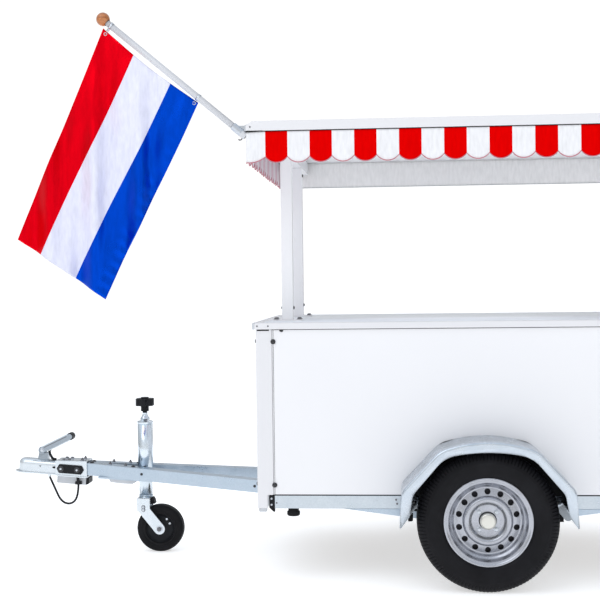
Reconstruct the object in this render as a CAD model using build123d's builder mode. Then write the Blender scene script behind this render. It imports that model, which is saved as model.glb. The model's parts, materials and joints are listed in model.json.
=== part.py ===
"""Ice cream trailer: a hollow sales box on one axle, under a flat canopy with a scalloped valance.

X runs from the coupling to the rear, Y from the left side to the right side and Z up from the ground.
The origin lies on the ground, below the middle of the overall length.
"""

import os
from math import atan2, cos, degrees, hypot, radians, sin, tan

from build123d import *

os.makedirs("parts", exist_ok=True)

# Main stations, in millimetres
AXLE_X = 582.0
BOX_FRONT = AXLE_X - 968.0
BOX_REAR = BOX_FRONT + 2000.0
BOX_MID = (BOX_FRONT + BOX_REAR) / 2
BOX_HALF = 590.0
CANOPY_FRONT = AXLE_X - 984.0
CANOPY_REAR = 2 * BOX_MID - CANOPY_FRONT
CANOPY_HALF = 722.0
NOSE_X = -CANOPY_REAR
SIDES = ((-1, "left"), (1, "right"))
MID_PLANE = Plane.XZ
BOX_MID_PLANE = Plane.YZ.offset(BOX_MID)

# Chassis rails: channels that open inwards
RAIL_LOW, RAIL_TOP = 315.0, 373.0
RAIL_MID = (RAIL_LOW + RAIL_TOP) / 2
RAIL_HEIGHT = RAIL_TOP - RAIL_LOW
RAIL_FACE, RAIL_DEPTH, RAIL_WALL = 588.0, 40.0, 4.0
RAIL_FRONT = AXLE_X - 894.0
RAIL_REAR = 2 * BOX_MID - RAIL_FRONT
CAP_LENGTH = 25.0
REAR_RAIL_SETBACK = 38.0

# Box: corner posts, wall panels, floor, counter
POST_LEG, POST_THICK = 70.0, 22.0
POST_FOOT_LEG = POST_LEG - CAP_LENGTH
PLUG_LOW, PLUG_INSET = 299.0, 5.0
WALL, WALL_SETBACK, SEAM = 20.0, 1.5, 1.0
FLOOR_THICK, FLOOR_HALF = 15.0, 566.0
COUNTER_LOW, COUNTER_TOP = 1083.0, 1111.0
COUNTER_HALF, COUNTER_OVERHANG, TRIM_WIDTH = 600.0, 4.0, 30.0
DOOR_THICK, DOOR_GAP = 25.0, 5.0
HINGE_R, HINGE_PIN_R, HINGE_LENGTH = 7.0, 4.0, 60.0

# Canopy
MAST, MAST_WALL = 50.0, 3.0
MAST_X, MAST_Y, MAST_TOP = AXLE_X - 853.0, 300.0, 1848.0
FASCIA_LOW, FASCIA_TOP, FASCIA_THICK = 1914.0, 1956.0, 25.0
BEVEL_LONG, BEVEL_HIGH = 28.0, 18.0
CLOTH = 3.0
SCALLOP, FIRST_TONGUE, SCALLOP_CUSP, SCALLOP_TIP = 92.4, 80.0, 1806.0, 1782.0

# Wheels
TRACK_HALF = 700.0
TYRE_R, TYRE_HALF_WIDTH, RIM_SEAT_R = 292.0, 77.5, 168.0
BOLT_CIRCLE, BOLT_COUNT = 100.0, 4
VENT_CIRCLE, VENT_R, VENT_COUNT, VENT_SIDES = 119.0, 11.0, 14, 8
STUB_R, RUNNING_GAP = 17.0, 0.4

# Axle
ARM_LENGTH, ARM_THICK, ARM_WIDTH = 140.0, 16.0, 56.0
TUBE_R, TUBE_Z, TUBE_HALF = 35.0, 276.0, 600.0

# Wing over each wheel
WING_OUT, WING_SHEET, WING_ROLL = 805.0, 3.0, 12.0
KNEE_R, SHOULDER_R = 50.0, 120.0
LIP_KNEE_R, LIP_SHOULDER_R = 60.0, 130.0

# Drawbar: each beam runs from the coupling to the front cross rail
BEAM_WIDTH, BEAM_HEIGHT, BEAM_WALL = 62.0, 56.6, 4.0
BEAM_RUN, BEAM_SPREAD, BEAM_DROP = 840.0, 150.0, 56.7
BEAM_START = (AXLE_X - 1840.0, 52.1 - BEAM_WIDTH / 2, 427.2 - BEAM_HEIGHT / 2)
BEAM_FRONT = AXLE_X - 1895.0

# Coupling, drawn on the sloping plane of its lower lip
LIP_Z, LIP_SLOPE, LIP_THICK = 387.0, 4.58, 5.0
HEAD_R, HEAD_HEIGHT, HEAD_WALL, HEAD_CURVE_R = 38.0, 66.0, 6.0, 26.0
NECK_X, NECK_LENGTH = AXLE_X - 2003.0, 153.0
NECK_HALF, NECK_WALL = 56.0, 5.0
BALL_R = 25.4
CABLE_R, CABLE_SIDES = 5.0, 8

# Jockey wheel
JOCKEY_X = AXLE_X - 1576.0
JOCKEY_TUBE_R, JOCKEY_BORE_R, JOCKEY_LOW, JOCKEY_TOP = 36.0, 32.6, 345.0, 624.0
LEG_R, LEG_BORE_R, LEG_LOW, LEG_TOP = 31.6, 28.0, 259.0, 520.0
SWIVEL_R = 12.0
FORK_TOP, FORK_LOW, FORK_IN, FORK_OUT = 258.0, 238.0, 39.0, 44.0
FORK_BOLT = (AXLE_X - 1581.0, 206.0)
JOCKEY_AXLE = (AXLE_X - 1505.0, 112.0)
JOCKEY_R, JOCKEY_RIM_R, JOCKEY_BOLT_R = 112.0, 68.0, 8.0

# Flag and pole, in a plane just inside the canopy's left edge
FLAG_Y = -705.0
POLE_R, BALL_KNOB_R = 13.5, 28.5
POLE_FOOT = Vector(AXLE_X - 1002.0, FLAG_Y, 1908.0)
POLE_TIP = Vector(AXLE_X - 1570.0, FLAG_Y, 2387.0)


# Chassis: side rails, their dark end pieces, cross rails and floor
for sign, side in SIDES:
    with BuildPart() as side_rail:
        with BuildSketch(Plane.YZ.offset(RAIL_FRONT)):
            with Locations((sign * (RAIL_FACE - RAIL_DEPTH / 2), RAIL_MID)):
                Rectangle(RAIL_DEPTH, RAIL_HEIGHT)
            with Locations((sign * (RAIL_FACE - RAIL_WALL - RAIL_DEPTH / 2), RAIL_MID)):
                Rectangle(RAIL_DEPTH, RAIL_HEIGHT - 2 * RAIL_WALL, mode=Mode.SUBTRACT)
        extrude(amount=RAIL_REAR - RAIL_FRONT)
    side_rail.part.label = f"side_rail_{side}"
    export_step(side_rail.part, f"parts/side_rail_{side}.step")

with BuildPart() as rail_end_caps:
    with Locations((RAIL_FRONT - CAP_LENGTH / 2, -RAIL_FACE + RAIL_DEPTH / 2 + 2, RAIL_MID)):
        Box(CAP_LENGTH, RAIL_DEPTH - 2, RAIL_HEIGHT - 4)
    mirror(about=MID_PLANE)
    mirror(about=BOX_MID_PLANE)
rail_end_caps.part.label = "rail_end_caps"
export_step(rail_end_caps.part, "parts/rail_end_caps.step")

POST_INNER = BOX_HALF - POST_FOOT_LEG
CROSS_RAILS = (
    # front face X, half length
    (BOX_FRONT + 2.0, POST_INNER),
    (BOX_FRONT + 620.0, RAIL_FACE - RAIL_DEPTH),
    (BOX_FRONT + 1380.0, RAIL_FACE - RAIL_DEPTH),
    (BOX_REAR - REAR_RAIL_SETBACK - RAIL_DEPTH, POST_INNER),
)
with BuildPart() as cross_rails:
    for face_x, half in CROSS_RAILS:
        with BuildSketch(Plane.XZ.offset(-half)):
            with Locations((face_x + RAIL_DEPTH / 2, RAIL_MID)):
                Rectangle(RAIL_DEPTH, RAIL_HEIGHT)
            with Locations((face_x + RAIL_DEPTH / 2, RAIL_MID - RAIL_WALL)):
                Rectangle(RAIL_DEPTH - 2 * RAIL_WALL, RAIL_HEIGHT, mode=Mode.SUBTRACT)
        extrude(amount=2 * half)
cross_rails.part.label = "cross_rails"
export_step(cross_rails.part, "parts/cross_rails.step")

FLOOR_FRONT = BOX_FRONT + POST_THICK + SEAM
FLOOR_REAR = BOX_REAR - DOOR_THICK - DOOR_GAP
with BuildPart() as floor_panel:
    with Locations(((FLOOR_FRONT + FLOOR_REAR) / 2, 0, RAIL_TOP + FLOOR_THICK / 2)):
        Box(FLOOR_REAR - FLOOR_FRONT, 2 * FLOOR_HALF, FLOOR_THICK)
floor_panel.part.label = "floor_panel"
export_step(floor_panel.part, "parts/floor_panel.step")

BUFFER_X = AXLE_X - 816.0
BUFFER_PLANE = Plane((BUFFER_X, -RAIL_FACE + 29, RAIL_LOW), x_dir=(1, 0, 0), z_dir=(0, -1, 0))
BUFFER_SECTION = ((0, 0), (23, 0), (23, -15), (28, -15), (28, -30), (23, -35), (0, -35))
with BuildPart() as rail_buffers:
    with BuildSketch(BUFFER_PLANE):
        with BuildLine():
            Polyline(*BUFFER_SECTION, close=True)
        make_face()
    revolve(axis=Axis(BUFFER_PLANE.origin, (0, 0, 1)))
    mirror(about=MID_PLANE)
    mirror(about=BOX_MID_PLANE)
rail_buffers.part.label = "rail_buffers"
export_step(rail_buffers.part, "parts/rail_buffers.step")

# Box: corner posts with plugs, panels, rear doors, counter
with BuildPart() as corner_posts:
    for low, high, leg in ((RAIL_LOW, RAIL_TOP, POST_FOOT_LEG), (RAIL_TOP, COUNTER_LOW, POST_LEG)):
        with BuildSketch(Plane.XY.offset(low)):
            with Locations((BOX_FRONT, -BOX_HALF)):
                Rectangle(leg, POST_THICK, align=Align.MIN)
                Rectangle(POST_THICK, leg, align=Align.MIN)
        extrude(amount=high - low)
    outer = corner_posts.edges().filter_by(Axis.Z).sort_by(Axis((0, 0, 0), (1, 1, 0)))[0]
    fillet(outer, radius=6)
    mirror(about=MID_PLANE)
    mirror(about=BOX_MID_PLANE)
corner_posts.part.label = "corner_posts"
export_step(corner_posts.part, "parts/corner_posts.step")

with BuildPart() as post_plugs:
    with BuildSketch(Plane.XY.offset(PLUG_LOW)):
        with Locations((BOX_FRONT + PLUG_INSET, -BOX_HALF + PLUG_INSET)):
            Rectangle(POST_FOOT_LEG - 2 * PLUG_INSET, POST_THICK - PLUG_INSET, align=Align.MIN)
            Rectangle(POST_THICK - PLUG_INSET, POST_FOOT_LEG - 2 * PLUG_INSET, align=Align.MIN)
    extrude(amount=RAIL_LOW - PLUG_LOW)
    chamfer(post_plugs.faces().sort_by(Axis.Z)[0].edges(), length=3)
    mirror(about=MID_PLANE)
    mirror(about=BOX_MID_PLANE)
post_plugs.part.label = "post_plugs"
export_step(post_plugs.part, "parts/post_plugs.step")

WALL_LOW = RAIL_TOP + SEAM
WALL_HEIGHT = COUNTER_LOW - WALL_LOW
for sign, side in SIDES:
    with BuildPart() as side_panel:
        with Locations((BOX_MID, sign * (BOX_HALF - WALL_SETBACK - WALL / 2), WALL_LOW + WALL_HEIGHT / 2)):
            Box(BOX_REAR - BOX_FRONT - 2 * (POST_LEG + SEAM), WALL, WALL_HEIGHT)
    side_panel.part.label = f"side_panel_{side}"
    export_step(side_panel.part, f"parts/side_panel_{side}.step")

with BuildPart() as front_panel:
    with Locations((BOX_FRONT + WALL_SETBACK + WALL / 2, 0, WALL_LOW + WALL_HEIGHT / 2)):
        Box(WALL, 2 * (BOX_HALF - POST_LEG - SEAM), WALL_HEIGHT)
front_panel.part.label = "front_panel"
export_step(front_panel.part, "parts/front_panel.step")

DOOR_LOW, DOOR_TOP = RAIL_TOP + DOOR_GAP + 1, COUNTER_LOW - DOOR_GAP - 1
DOOR_MID = (DOOR_LOW + DOOR_TOP) / 2
DOOR_OUT, DOOR_IN = BOX_HALF - POST_LEG - DOOR_GAP, DOOR_GAP / 2 + 1
HINGE_X, HINGE_Y = BOX_REAR + HINGE_R, BOX_HALF - POST_LEG - DOOR_GAP / 2
HINGE_HEIGHTS = (520.0, 940.0)
for sign, side in SIDES:
    with BuildPart() as rear_door:
        with Locations((BOX_REAR - DOOR_THICK / 2, sign * (DOOR_OUT + DOOR_IN) / 2, DOOR_MID)):
            Box(DOOR_THICK, DOOR_OUT - DOOR_IN, DOOR_TOP - DOOR_LOW)
        with Locations(*[(HINGE_X, sign * HINGE_Y, z) for z in HINGE_HEIGHTS]):
            Cylinder(HINGE_R, HINGE_LENGTH)
        with Locations(*[(BOX_REAR + 2, sign * (HINGE_Y - 35), z) for z in HINGE_HEIGHTS]):
            Box(4, 60, HINGE_LENGTH)
        with Locations(*[(BOX_REAR + 2, sign * (HINGE_Y - 5), z) for z in HINGE_HEIGHTS]):
            Box(4, 10, HINGE_LENGTH)
        with Locations(*[(HINGE_X, sign * HINGE_Y, z) for z in HINGE_HEIGHTS]):
            Cylinder(HINGE_PIN_R + RUNNING_GAP, 2 * HINGE_LENGTH, mode=Mode.SUBTRACT)
    rear_door.part.label = f"rear_door_{side}"
    export_step(rear_door.part, f"parts/rear_door_{side}.step")

HINGE_END = 14.0
with BuildPart() as door_hinges:
    for z in HINGE_HEIGHTS:
        with Locations((HINGE_X, -HINGE_Y, z)):
            Cylinder(HINGE_PIN_R, HINGE_LENGTH + 2 * HINGE_END + 2)
        for end in (-1, 1):
            end_z = z + end * (HINGE_LENGTH / 2 + 1 + HINGE_END / 2)
            with Locations((HINGE_X, -HINGE_Y, end_z)):
                Cylinder(HINGE_R, HINGE_END)
            with Locations((BOX_REAR + 2, -HINGE_Y - 20, end_z)):
                Box(4, 40, HINGE_END)
    mirror(about=MID_PLANE)
door_hinges.part.label = "door_hinges"
export_step(door_hinges.part, "parts/door_hinges.step")

LOCK_Y, LOCK_R, LOCK_X = 60.0, 6.0, BOX_REAR + 8.0
with BuildPart() as door_lock:
    with Locations((LOCK_X, LOCK_Y, DOOR_MID)):
        Cylinder(LOCK_R, DOOR_TOP - DOOR_LOW - 20)
    with Locations(*[(BOX_REAR + 5, LOCK_Y, z) for z in (420.0, 1040.0)]):
        Box(10, 34, 24)
    with Locations((LOCK_X, LOCK_Y + 60, 700)):
        Box(8, 130, 22)
    with Locations((BOX_REAR + 5, LOCK_Y + 110, 700)):
        Box(10, 40, 40)
door_lock.part.label = "door_lock"
export_step(door_lock.part, "parts/door_lock.step")

COUNTER_FRONT, COUNTER_REAR = BOX_FRONT - COUNTER_OVERHANG, BOX_REAR + COUNTER_OVERHANG
COUNTER_LENGTH = COUNTER_REAR - COUNTER_FRONT
with BuildPart() as counter_trim:
    with BuildSketch(Plane.XY.offset(COUNTER_LOW)):
        with Locations((BOX_MID, 0)):
            Rectangle(COUNTER_LENGTH, 2 * COUNTER_HALF)
            Rectangle(COUNTER_LENGTH - 2 * TRIM_WIDTH, 2 * (COUNTER_HALF - TRIM_WIDTH), mode=Mode.SUBTRACT)
    extrude(amount=COUNTER_TOP - COUNTER_LOW)
    chamfer(counter_trim.faces().sort_by(Axis.Z)[-1].outer_wire().edges(), length=3)
counter_trim.part.label = "counter_trim"
export_step(counter_trim.part, "parts/counter_trim.step")

COUNTER_PLATE = 20.0
with BuildPart() as counter_top:
    with Locations((BOX_MID, 0, COUNTER_TOP - 1 - COUNTER_PLATE / 2)):
        Box(COUNTER_LENGTH - 2 * TRIM_WIDTH, 2 * (COUNTER_HALF - TRIM_WIDTH), COUNTER_PLATE)
counter_top.part.label = "counter_top"
export_step(counter_top.part, "parts/counter_top.step")

with BuildPart() as tail_lamps:
    with Locations((BOX_REAR - REAR_RAIL_SETBACK + 22, -400, RAIL_MID)):
        Box(44, 200, 46)
    chamfer(tail_lamps.faces().sort_by(Axis.X)[-1].edges(), length=6)
    mirror(about=MID_PLANE)
tail_lamps.part.label = "tail_lamps"
export_step(tail_lamps.part, "parts/tail_lamps.step")

# Canopy: masts on foot plates, cross beams, edge frame, roof panel and valances
FOOT_LENGTH, FOOT_WIDTH, FOOT_THICK = 130.0, 62.0, 6.0
FOOT_Z = COUNTER_TOP - 1
with BuildPart() as mast_feet:
    with BuildSketch(Plane.XY.offset(FOOT_Z)):
        with Locations((MAST_X, -MAST_Y)):
            Rectangle(FOOT_LENGTH, FOOT_WIDTH)
    extrude(amount=FOOT_THICK)
    mirror(about=MID_PLANE)
    mirror(about=BOX_MID_PLANE)
mast_feet.part.label = "mast_feet"
export_step(mast_feet.part, "parts/mast_feet.step")

with BuildPart() as masts:
    with BuildSketch(Plane.XY.offset(FOOT_Z + FOOT_THICK)):
        with Locations((MAST_X, -MAST_Y)):
            Rectangle(MAST, MAST)
            Rectangle(MAST - 2 * MAST_WALL, MAST - 2 * MAST_WALL, mode=Mode.SUBTRACT)
    extrude(amount=MAST_TOP - FOOT_Z - FOOT_THICK)
    mirror(about=MID_PLANE)
    mirror(about=BOX_MID_PLANE)
masts.part.label = "masts"
export_step(masts.part, "parts/masts.step")

BEAM_REACH = CANOPY_HALF - FASCIA_THICK
with BuildPart() as roof_beams:
    with BuildSketch(Plane.XZ.offset(-BEAM_REACH)):
        with Locations((MAST_X, (MAST_TOP + FASCIA_LOW) / 2)):
            Rectangle(MAST, FASCIA_LOW - MAST_TOP)
            Rectangle(MAST - 2 * MAST_WALL, FASCIA_LOW - MAST_TOP - 2 * MAST_WALL, mode=Mode.SUBTRACT)
    extrude(amount=2 * BEAM_REACH)
    mirror(about=BOX_MID_PLANE)
roof_beams.part.label = "roof_beams"
export_step(roof_beams.part, "parts/roof_beams.step")

CANOPY_LENGTH = CANOPY_REAR - CANOPY_FRONT
ROOF_LENGTH = CANOPY_LENGTH - 2 * (BEVEL_LONG + 2)
with BuildPart() as roof_frame:
    with BuildSketch(Plane.XZ.offset(-CANOPY_HALF)):
        with BuildLine():
            Polyline(
                (CANOPY_FRONT, FASCIA_LOW), (CANOPY_REAR, FASCIA_LOW),
                (CANOPY_REAR, FASCIA_TOP - BEVEL_HIGH), (CANOPY_REAR - BEVEL_LONG, FASCIA_TOP),
                (CANOPY_FRONT + BEVEL_LONG, FASCIA_TOP), (CANOPY_FRONT, FASCIA_TOP - BEVEL_HIGH),
                close=True)
        make_face()
    extrude(amount=2 * CANOPY_HALF)
    with Locations((BOX_MID, 0, (FASCIA_LOW + FASCIA_TOP) / 2)):
        Box(ROOF_LENGTH, 2 * BEAM_REACH, 2 * (FASCIA_TOP - FASCIA_LOW), mode=Mode.SUBTRACT)
roof_frame.part.label = "roof_frame"
export_step(roof_frame.part, "parts/roof_frame.step")

ROOF_THICK = 30.0
with BuildPart() as roof_panel:
    with Locations((BOX_MID, 0, FASCIA_LOW + ROOF_THICK / 2)):
        Box(ROOF_LENGTH, 2 * BEAM_REACH, ROOF_THICK)
roof_panel.part.label = "roof_panel"
export_step(roof_panel.part, "parts/roof_panel.step")


def scalloped_outline(length):
    """Draw the outline of one valance in the current line: straight on top, round tongues below.

    The first tongue is cut narrower, and the last one ends where the cloth does.
    """
    drop, low = FASCIA_LOW - SCALLOP_CUSP, FASCIA_LOW - SCALLOP_TIP
    count = round((length - FIRST_TONGUE) / SCALLOP)
    stops = [0, *[FIRST_TONGUE + i * SCALLOP for i in range(count)], length]
    Polyline((0, -drop), (0, 0), (length, 0), (length, -drop))
    for start, stop in zip(stops, stops[1:]):
        ThreePointArc((start, -drop), ((start + stop) / 2, -low), (stop, -drop))


VALANCE_INSET, VALANCE_GAP = 2.0, 6.0
LEFT_EDGE = -CANOPY_HALF + VALANCE_INSET
SIDE_RUN, END_RUN = CANOPY_LENGTH - 2 * VALANCE_INSET, 2 * (CANOPY_HALF - VALANCE_GAP)
VALANCES = (
    # name, top corner, direction along the cloth, normal, depth along the normal, length
    ("left", (CANOPY_FRONT + VALANCE_INSET, LEFT_EDGE), (1, 0, 0), (0, -1, 0), -CLOTH, SIDE_RUN),
    ("front", (CANOPY_FRONT + VALANCE_INSET, -END_RUN / 2), (0, 1, 0), (1, 0, 0), CLOTH, END_RUN),
    ("rear", (CANOPY_REAR - VALANCE_INSET, -END_RUN / 2), (0, 1, 0), (1, 0, 0), -CLOTH, END_RUN),
)
for name, corner, along, normal, depth, length in VALANCES:
    with BuildPart() as valance:
        with BuildSketch(Plane((*corner, FASCIA_LOW), x_dir=along, z_dir=normal)):
            with BuildLine():
                scalloped_outline(length)
            make_face()
        extrude(amount=depth)
    valance.part.label = f"valance_{name}"
    export_step(valance.part, f"parts/valance_{name}.step")

with BuildPart() as valance_right:
    with Locations((BOX_MID, CANOPY_HALF - VALANCE_INSET - CLOTH / 2, (FASCIA_LOW + SCALLOP_TIP) / 2)):
        Box(SIDE_RUN, CLOTH, FASCIA_LOW - SCALLOP_TIP)
valance_right.part.label = "valance_right"
export_step(valance_right.part, "parts/valance_right.step")

# Flag: pole with its ball, holder on the canopy's corner, clips and cloth
POLE_LINE = POLE_TIP - POLE_FOOT
POLE_DIR = POLE_LINE.normalized()
POLE_PLANE = Plane(POLE_FOOT, x_dir=(0, 1, 0), z_dir=POLE_DIR)
with BuildPart() as flag_pole:
    with BuildSketch(POLE_PLANE):
        Circle(POLE_R)
    extrude(amount=POLE_LINE.length)
flag_pole.part.label = "flag_pole"
export_step(flag_pole.part, "parts/flag_pole.step")

BALL_CENTRE = POLE_TIP + POLE_DIR * (BALL_KNOB_R * 0.6)
BALL_PLANE = Plane(BALL_CENTRE, x_dir=(0, 1, 0), z_dir=(POLE_DIR.Z, 0, -POLE_DIR.X))
BALL_LATITUDES = (-36.8, 0.0, 34.0, 64.0)
with BuildPart() as pole_ball:
    with BuildSketch(BALL_PLANE):
        with BuildLine():
            ring = [(BALL_KNOB_R * cos(radians(a)), BALL_KNOB_R * sin(radians(a))) for a in BALL_LATITUDES]
            Polyline((0, ring[0][1]), *ring, (0, BALL_KNOB_R), close=True)
        make_face()
    revolve(axis=Axis(BALL_CENTRE, POLE_DIR))
pole_ball.part.label = "pole_ball"
export_step(pole_ball.part, "parts/pole_ball.step")

HOLDER_LENGTH, HOLDER_R = 46.0, 17.0
with BuildPart() as pole_holder:
    with BuildSketch(POLE_PLANE):
        Circle(HOLDER_R)
    extrude(amount=HOLDER_LENGTH)
    with Locations((CANOPY_FRONT - 14, FLAG_Y, 1928)):
        Box(28, 8, 22)
    with Locations((CANOPY_FRONT - 2, FLAG_Y, (FASCIA_LOW + FASCIA_TOP - BEVEL_HIGH) / 2)):
        Box(4, 32, FASCIA_TOP - BEVEL_HIGH - FASCIA_LOW)
    with BuildSketch(POLE_PLANE):
        Circle(POLE_R)
    extrude(amount=2 * HOLDER_LENGTH, mode=Mode.SUBTRACT)
pole_holder.part.label = "pole_holder"
export_step(pole_holder.part, "parts/pole_holder.step")

FLAG_CORNERS = (
    # X from the axle, Z: hoist top, hoist low, fly of the last stripe, fly of the first stripe
    (-1581.0, 2360.0), (-1183.0, 2040.0), (-1590.0, 1222.0), (-1962.0, 1478.0),
)
FLAG_THICK = 6.0
with BuildPart() as flag:
    with BuildSketch(Plane.XZ.offset(-FLAG_Y - FLAG_THICK / 2)):
        with BuildLine():
            Polyline(*[(AXLE_X + x, z) for x, z in FLAG_CORNERS], close=True)
        make_face()
    extrude(amount=FLAG_THICK)
flag.part.label = "flag"
export_step(flag.part, "parts/flag.step")

CLIPS = (
    # distance from the pole's tip, reach from the pole's middle to the flag's edge
    (29.0, 26.9),
    (508.0, 15.8),
)
CLIP_R, CLIP_WIDTH, CLIP_THICK = 15.5, 10.0, 4.0
with BuildPart() as flag_clips:
    for station, reach in CLIPS:
        with BuildSketch(Plane(POLE_TIP - POLE_DIR * station, x_dir=(0, 1, 0), z_dir=POLE_DIR)):
            Circle(CLIP_R)
            with Locations((0, reach / 2)):
                Rectangle(CLIP_THICK, reach)
            Circle(POLE_R, mode=Mode.SUBTRACT)
        extrude(amount=CLIP_WIDTH / 2, both=True)
flag_clips.part.label = "flag_clips"
export_step(flag_clips.part, "parts/flag_clips.step")

# Wheels: the right one is drawn about its axle line, the left one is its mirror image
WHEEL_AXIS = Axis((AXLE_X, 0, TYRE_R), (0, 1, 0))
WHEEL_SKETCH = Plane((AXLE_X, TRACK_HALF, TYRE_R), x_dir=(0, 0, 1), z_dir=(-1, 0, 0))

# Sections are radius and outward distance from the wheel's middle plane
TYRE_SIDE = ((RIM_SEAT_R, 57), (186, 57), (186, TYRE_HALF_WIDTH), (277, TYRE_HALF_WIDTH), (TYRE_R, 64))
RIM_SECTION = (
    # outer flange, seat, back along the inside to the disc, hub bore, ring, vented disc, bowl
    (182.5, 66), (167.5, 58), (167.5, -62), (150, -62), (150, 12), (34, 12), (34, 18), (66, 18), (74, 34),
    (88, 40), (101, 32), (104, 17), (140, 17), (160, 36), (164, 62),
)
HUB_SECTION = ((0, -35), (40, -35), (40, 0), (66, 0), (66, 12), (33, 12), (33, 42), (26, 48), (0, 48))

with BuildPart() as tyre_right:
    with BuildSketch(WHEEL_SKETCH):
        with BuildLine():
            Polyline(*TYRE_SIDE, *[(radius, -out) for radius, out in reversed(TYRE_SIDE)], close=True)
        make_face()
    revolve(axis=WHEEL_AXIS)
tyre_right.part.label = "tyre_right"
export_step(tyre_right.part, "parts/tyre_right.step")

BOLT_HEAD_R, BOLT_HEAD, DISC_BACK, DISC_FACE = 9.0, 9.0, 12.0, 18.0
WHEEL_FACE = Plane((AXLE_X, TRACK_HALF, TYRE_R), x_dir=(1, 0, 0), z_dir=(0, 1, 0))
with BuildPart() as rim_right:
    with BuildSketch(WHEEL_SKETCH):
        with BuildLine():
            Polyline(*RIM_SECTION, close=True)
        make_face()
    revolve(axis=WHEEL_AXIS)
    with BuildSketch(WHEEL_FACE.offset(DISC_BACK)):
        with PolarLocations(VENT_CIRCLE, VENT_COUNT, start_angle=90):
            RegularPolygon(VENT_R, VENT_SIDES)
    extrude(amount=DISC_FACE - DISC_BACK, mode=Mode.SUBTRACT)
    with BuildSketch(WHEEL_FACE.offset(DISC_FACE)):
        with PolarLocations(BOLT_CIRCLE / 2, BOLT_COUNT, start_angle=45):
            RegularPolygon(BOLT_HEAD_R, 6)
    extrude(amount=BOLT_HEAD)
rim_right.part.label = "rim_right"
export_step(rim_right.part, "parts/rim_right.step")

with BuildPart() as hub_right:
    with BuildSketch(WHEEL_SKETCH):
        with BuildLine():
            Polyline(*HUB_SECTION, close=True)
        make_face()
    revolve(axis=WHEEL_AXIS)
    with BuildSketch(WHEEL_FACE.offset(-36)):
        Circle(STUB_R + RUNNING_GAP)
    extrude(amount=66, mode=Mode.SUBTRACT)
hub_right.part.label = "hub_right"
export_step(hub_right.part, "parts/hub_right.step")

for piece, name in ((tyre_right, "tyre"), (rim_right, "rim"), (hub_right, "hub")):
    with BuildPart() as mirrored:
        mirror(piece.part, about=MID_PLANE)
    mirrored.part.label = f"{name}_left"
    export_step(mirrored.part, f"parts/{name}_left.step")

# Axle: tube, trailing arms with stubs, tapered brackets below the rails
TUBE_X = AXLE_X - ARM_LENGTH
with BuildPart() as axle_tube:
    with BuildSketch(Plane.XZ.offset(-TUBE_HALF)):
        with Locations((TUBE_X, TUBE_Z)):
            Circle(TUBE_R)
            Circle(TUBE_R - 5, mode=Mode.SUBTRACT)
    extrude(amount=2 * TUBE_HALF)
axle_tube.part.label = "axle_tube"
export_step(axle_tube.part, "parts/axle_tube.step")

ARM_TILT = degrees(atan2(TYRE_R - TUBE_Z, ARM_LENGTH))
with BuildPart() as axle_arms:
    with BuildSketch(Plane.XZ.offset(-TUBE_HALF)):
        with Locations(((TUBE_X + AXLE_X) / 2, (TUBE_Z + TYRE_R) / 2)):
            SlotCenterToCenter(hypot(ARM_LENGTH, TYRE_R - TUBE_Z), ARM_WIDTH, rotation=ARM_TILT)
    extrude(amount=-ARM_THICK)
    with BuildSketch(Plane.XZ.offset(-TUBE_HALF - ARM_THICK)):
        with Locations((AXLE_X, TYRE_R)):
            Circle(STUB_R)
    extrude(amount=-(TRACK_HALF + 24 - TUBE_HALF - ARM_THICK))
    mirror(about=MID_PLANE)
axle_arms.part.label = "axle_arms"
export_step(axle_arms.part, "parts/axle_arms.step")

BRACKET_TOP_HALF, BRACKET_LOW_HALF, BRACKET_LOW, BRACKET_SHEET = 598.0, 170.0, 258.0, 6.0
with BuildPart() as axle_brackets:
    with BuildSketch(Plane.XZ.offset(RAIL_FACE - BRACKET_SHEET)):
        with BuildLine():
            Polyline(
                (AXLE_X - BRACKET_TOP_HALF, RAIL_LOW), (AXLE_X - BRACKET_LOW_HALF, BRACKET_LOW),
                (AXLE_X + BRACKET_LOW_HALF, BRACKET_LOW), (AXLE_X + BRACKET_TOP_HALF, RAIL_LOW), close=True)
        make_face()
    extrude(amount=BRACKET_SHEET)
    with Locations((AXLE_X, -RAIL_FACE + RAIL_DEPTH / 2, BRACKET_LOW + BRACKET_SHEET / 2)):
        Box(2 * BRACKET_LOW_HALF, RAIL_DEPTH, BRACKET_SHEET)
    with BuildSketch(Plane.XZ.offset(RAIL_FACE - RAIL_DEPTH)):
        with Locations((TUBE_X, TUBE_Z)):
            Circle(TUBE_R)
    extrude(amount=RAIL_DEPTH, mode=Mode.SUBTRACT)
    mirror(about=MID_PLANE)
axle_brackets.part.label = "axle_brackets"
export_step(axle_brackets.part, "parts/axle_brackets.step")

# Wings: a pressed arch with a rolled outer edge, a deep lip and pointed ends
WING_TIP, WING_KNEE, WING_SHOULDER, WING_CROWN = (363.0, 275.0), (352.0, 427.0), (200.0, 589.0), 628.0
LIP_TIP, LIP_KNEE, LIP_SHOULDER, LIP_CROWN = (322.0, 322.0), (307.0, 412.0), (178.0, 562.0), 584.0


def arch_line(tip, knee, shoulder, crown):
    """Draw an arch in the current line, from tip to tip; each station is X from the axle and Z."""
    left = [(AXLE_X - x, z) for x, z in (*tip, knee, shoulder)]
    right = [(2 * AXLE_X - x, z) for x, z in reversed(left)]
    Polyline(*left)
    ThreePointArc(left[-1], (AXLE_X, crown), right[0])
    Polyline(*right)
    Line(right[-1], left[0])


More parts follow.
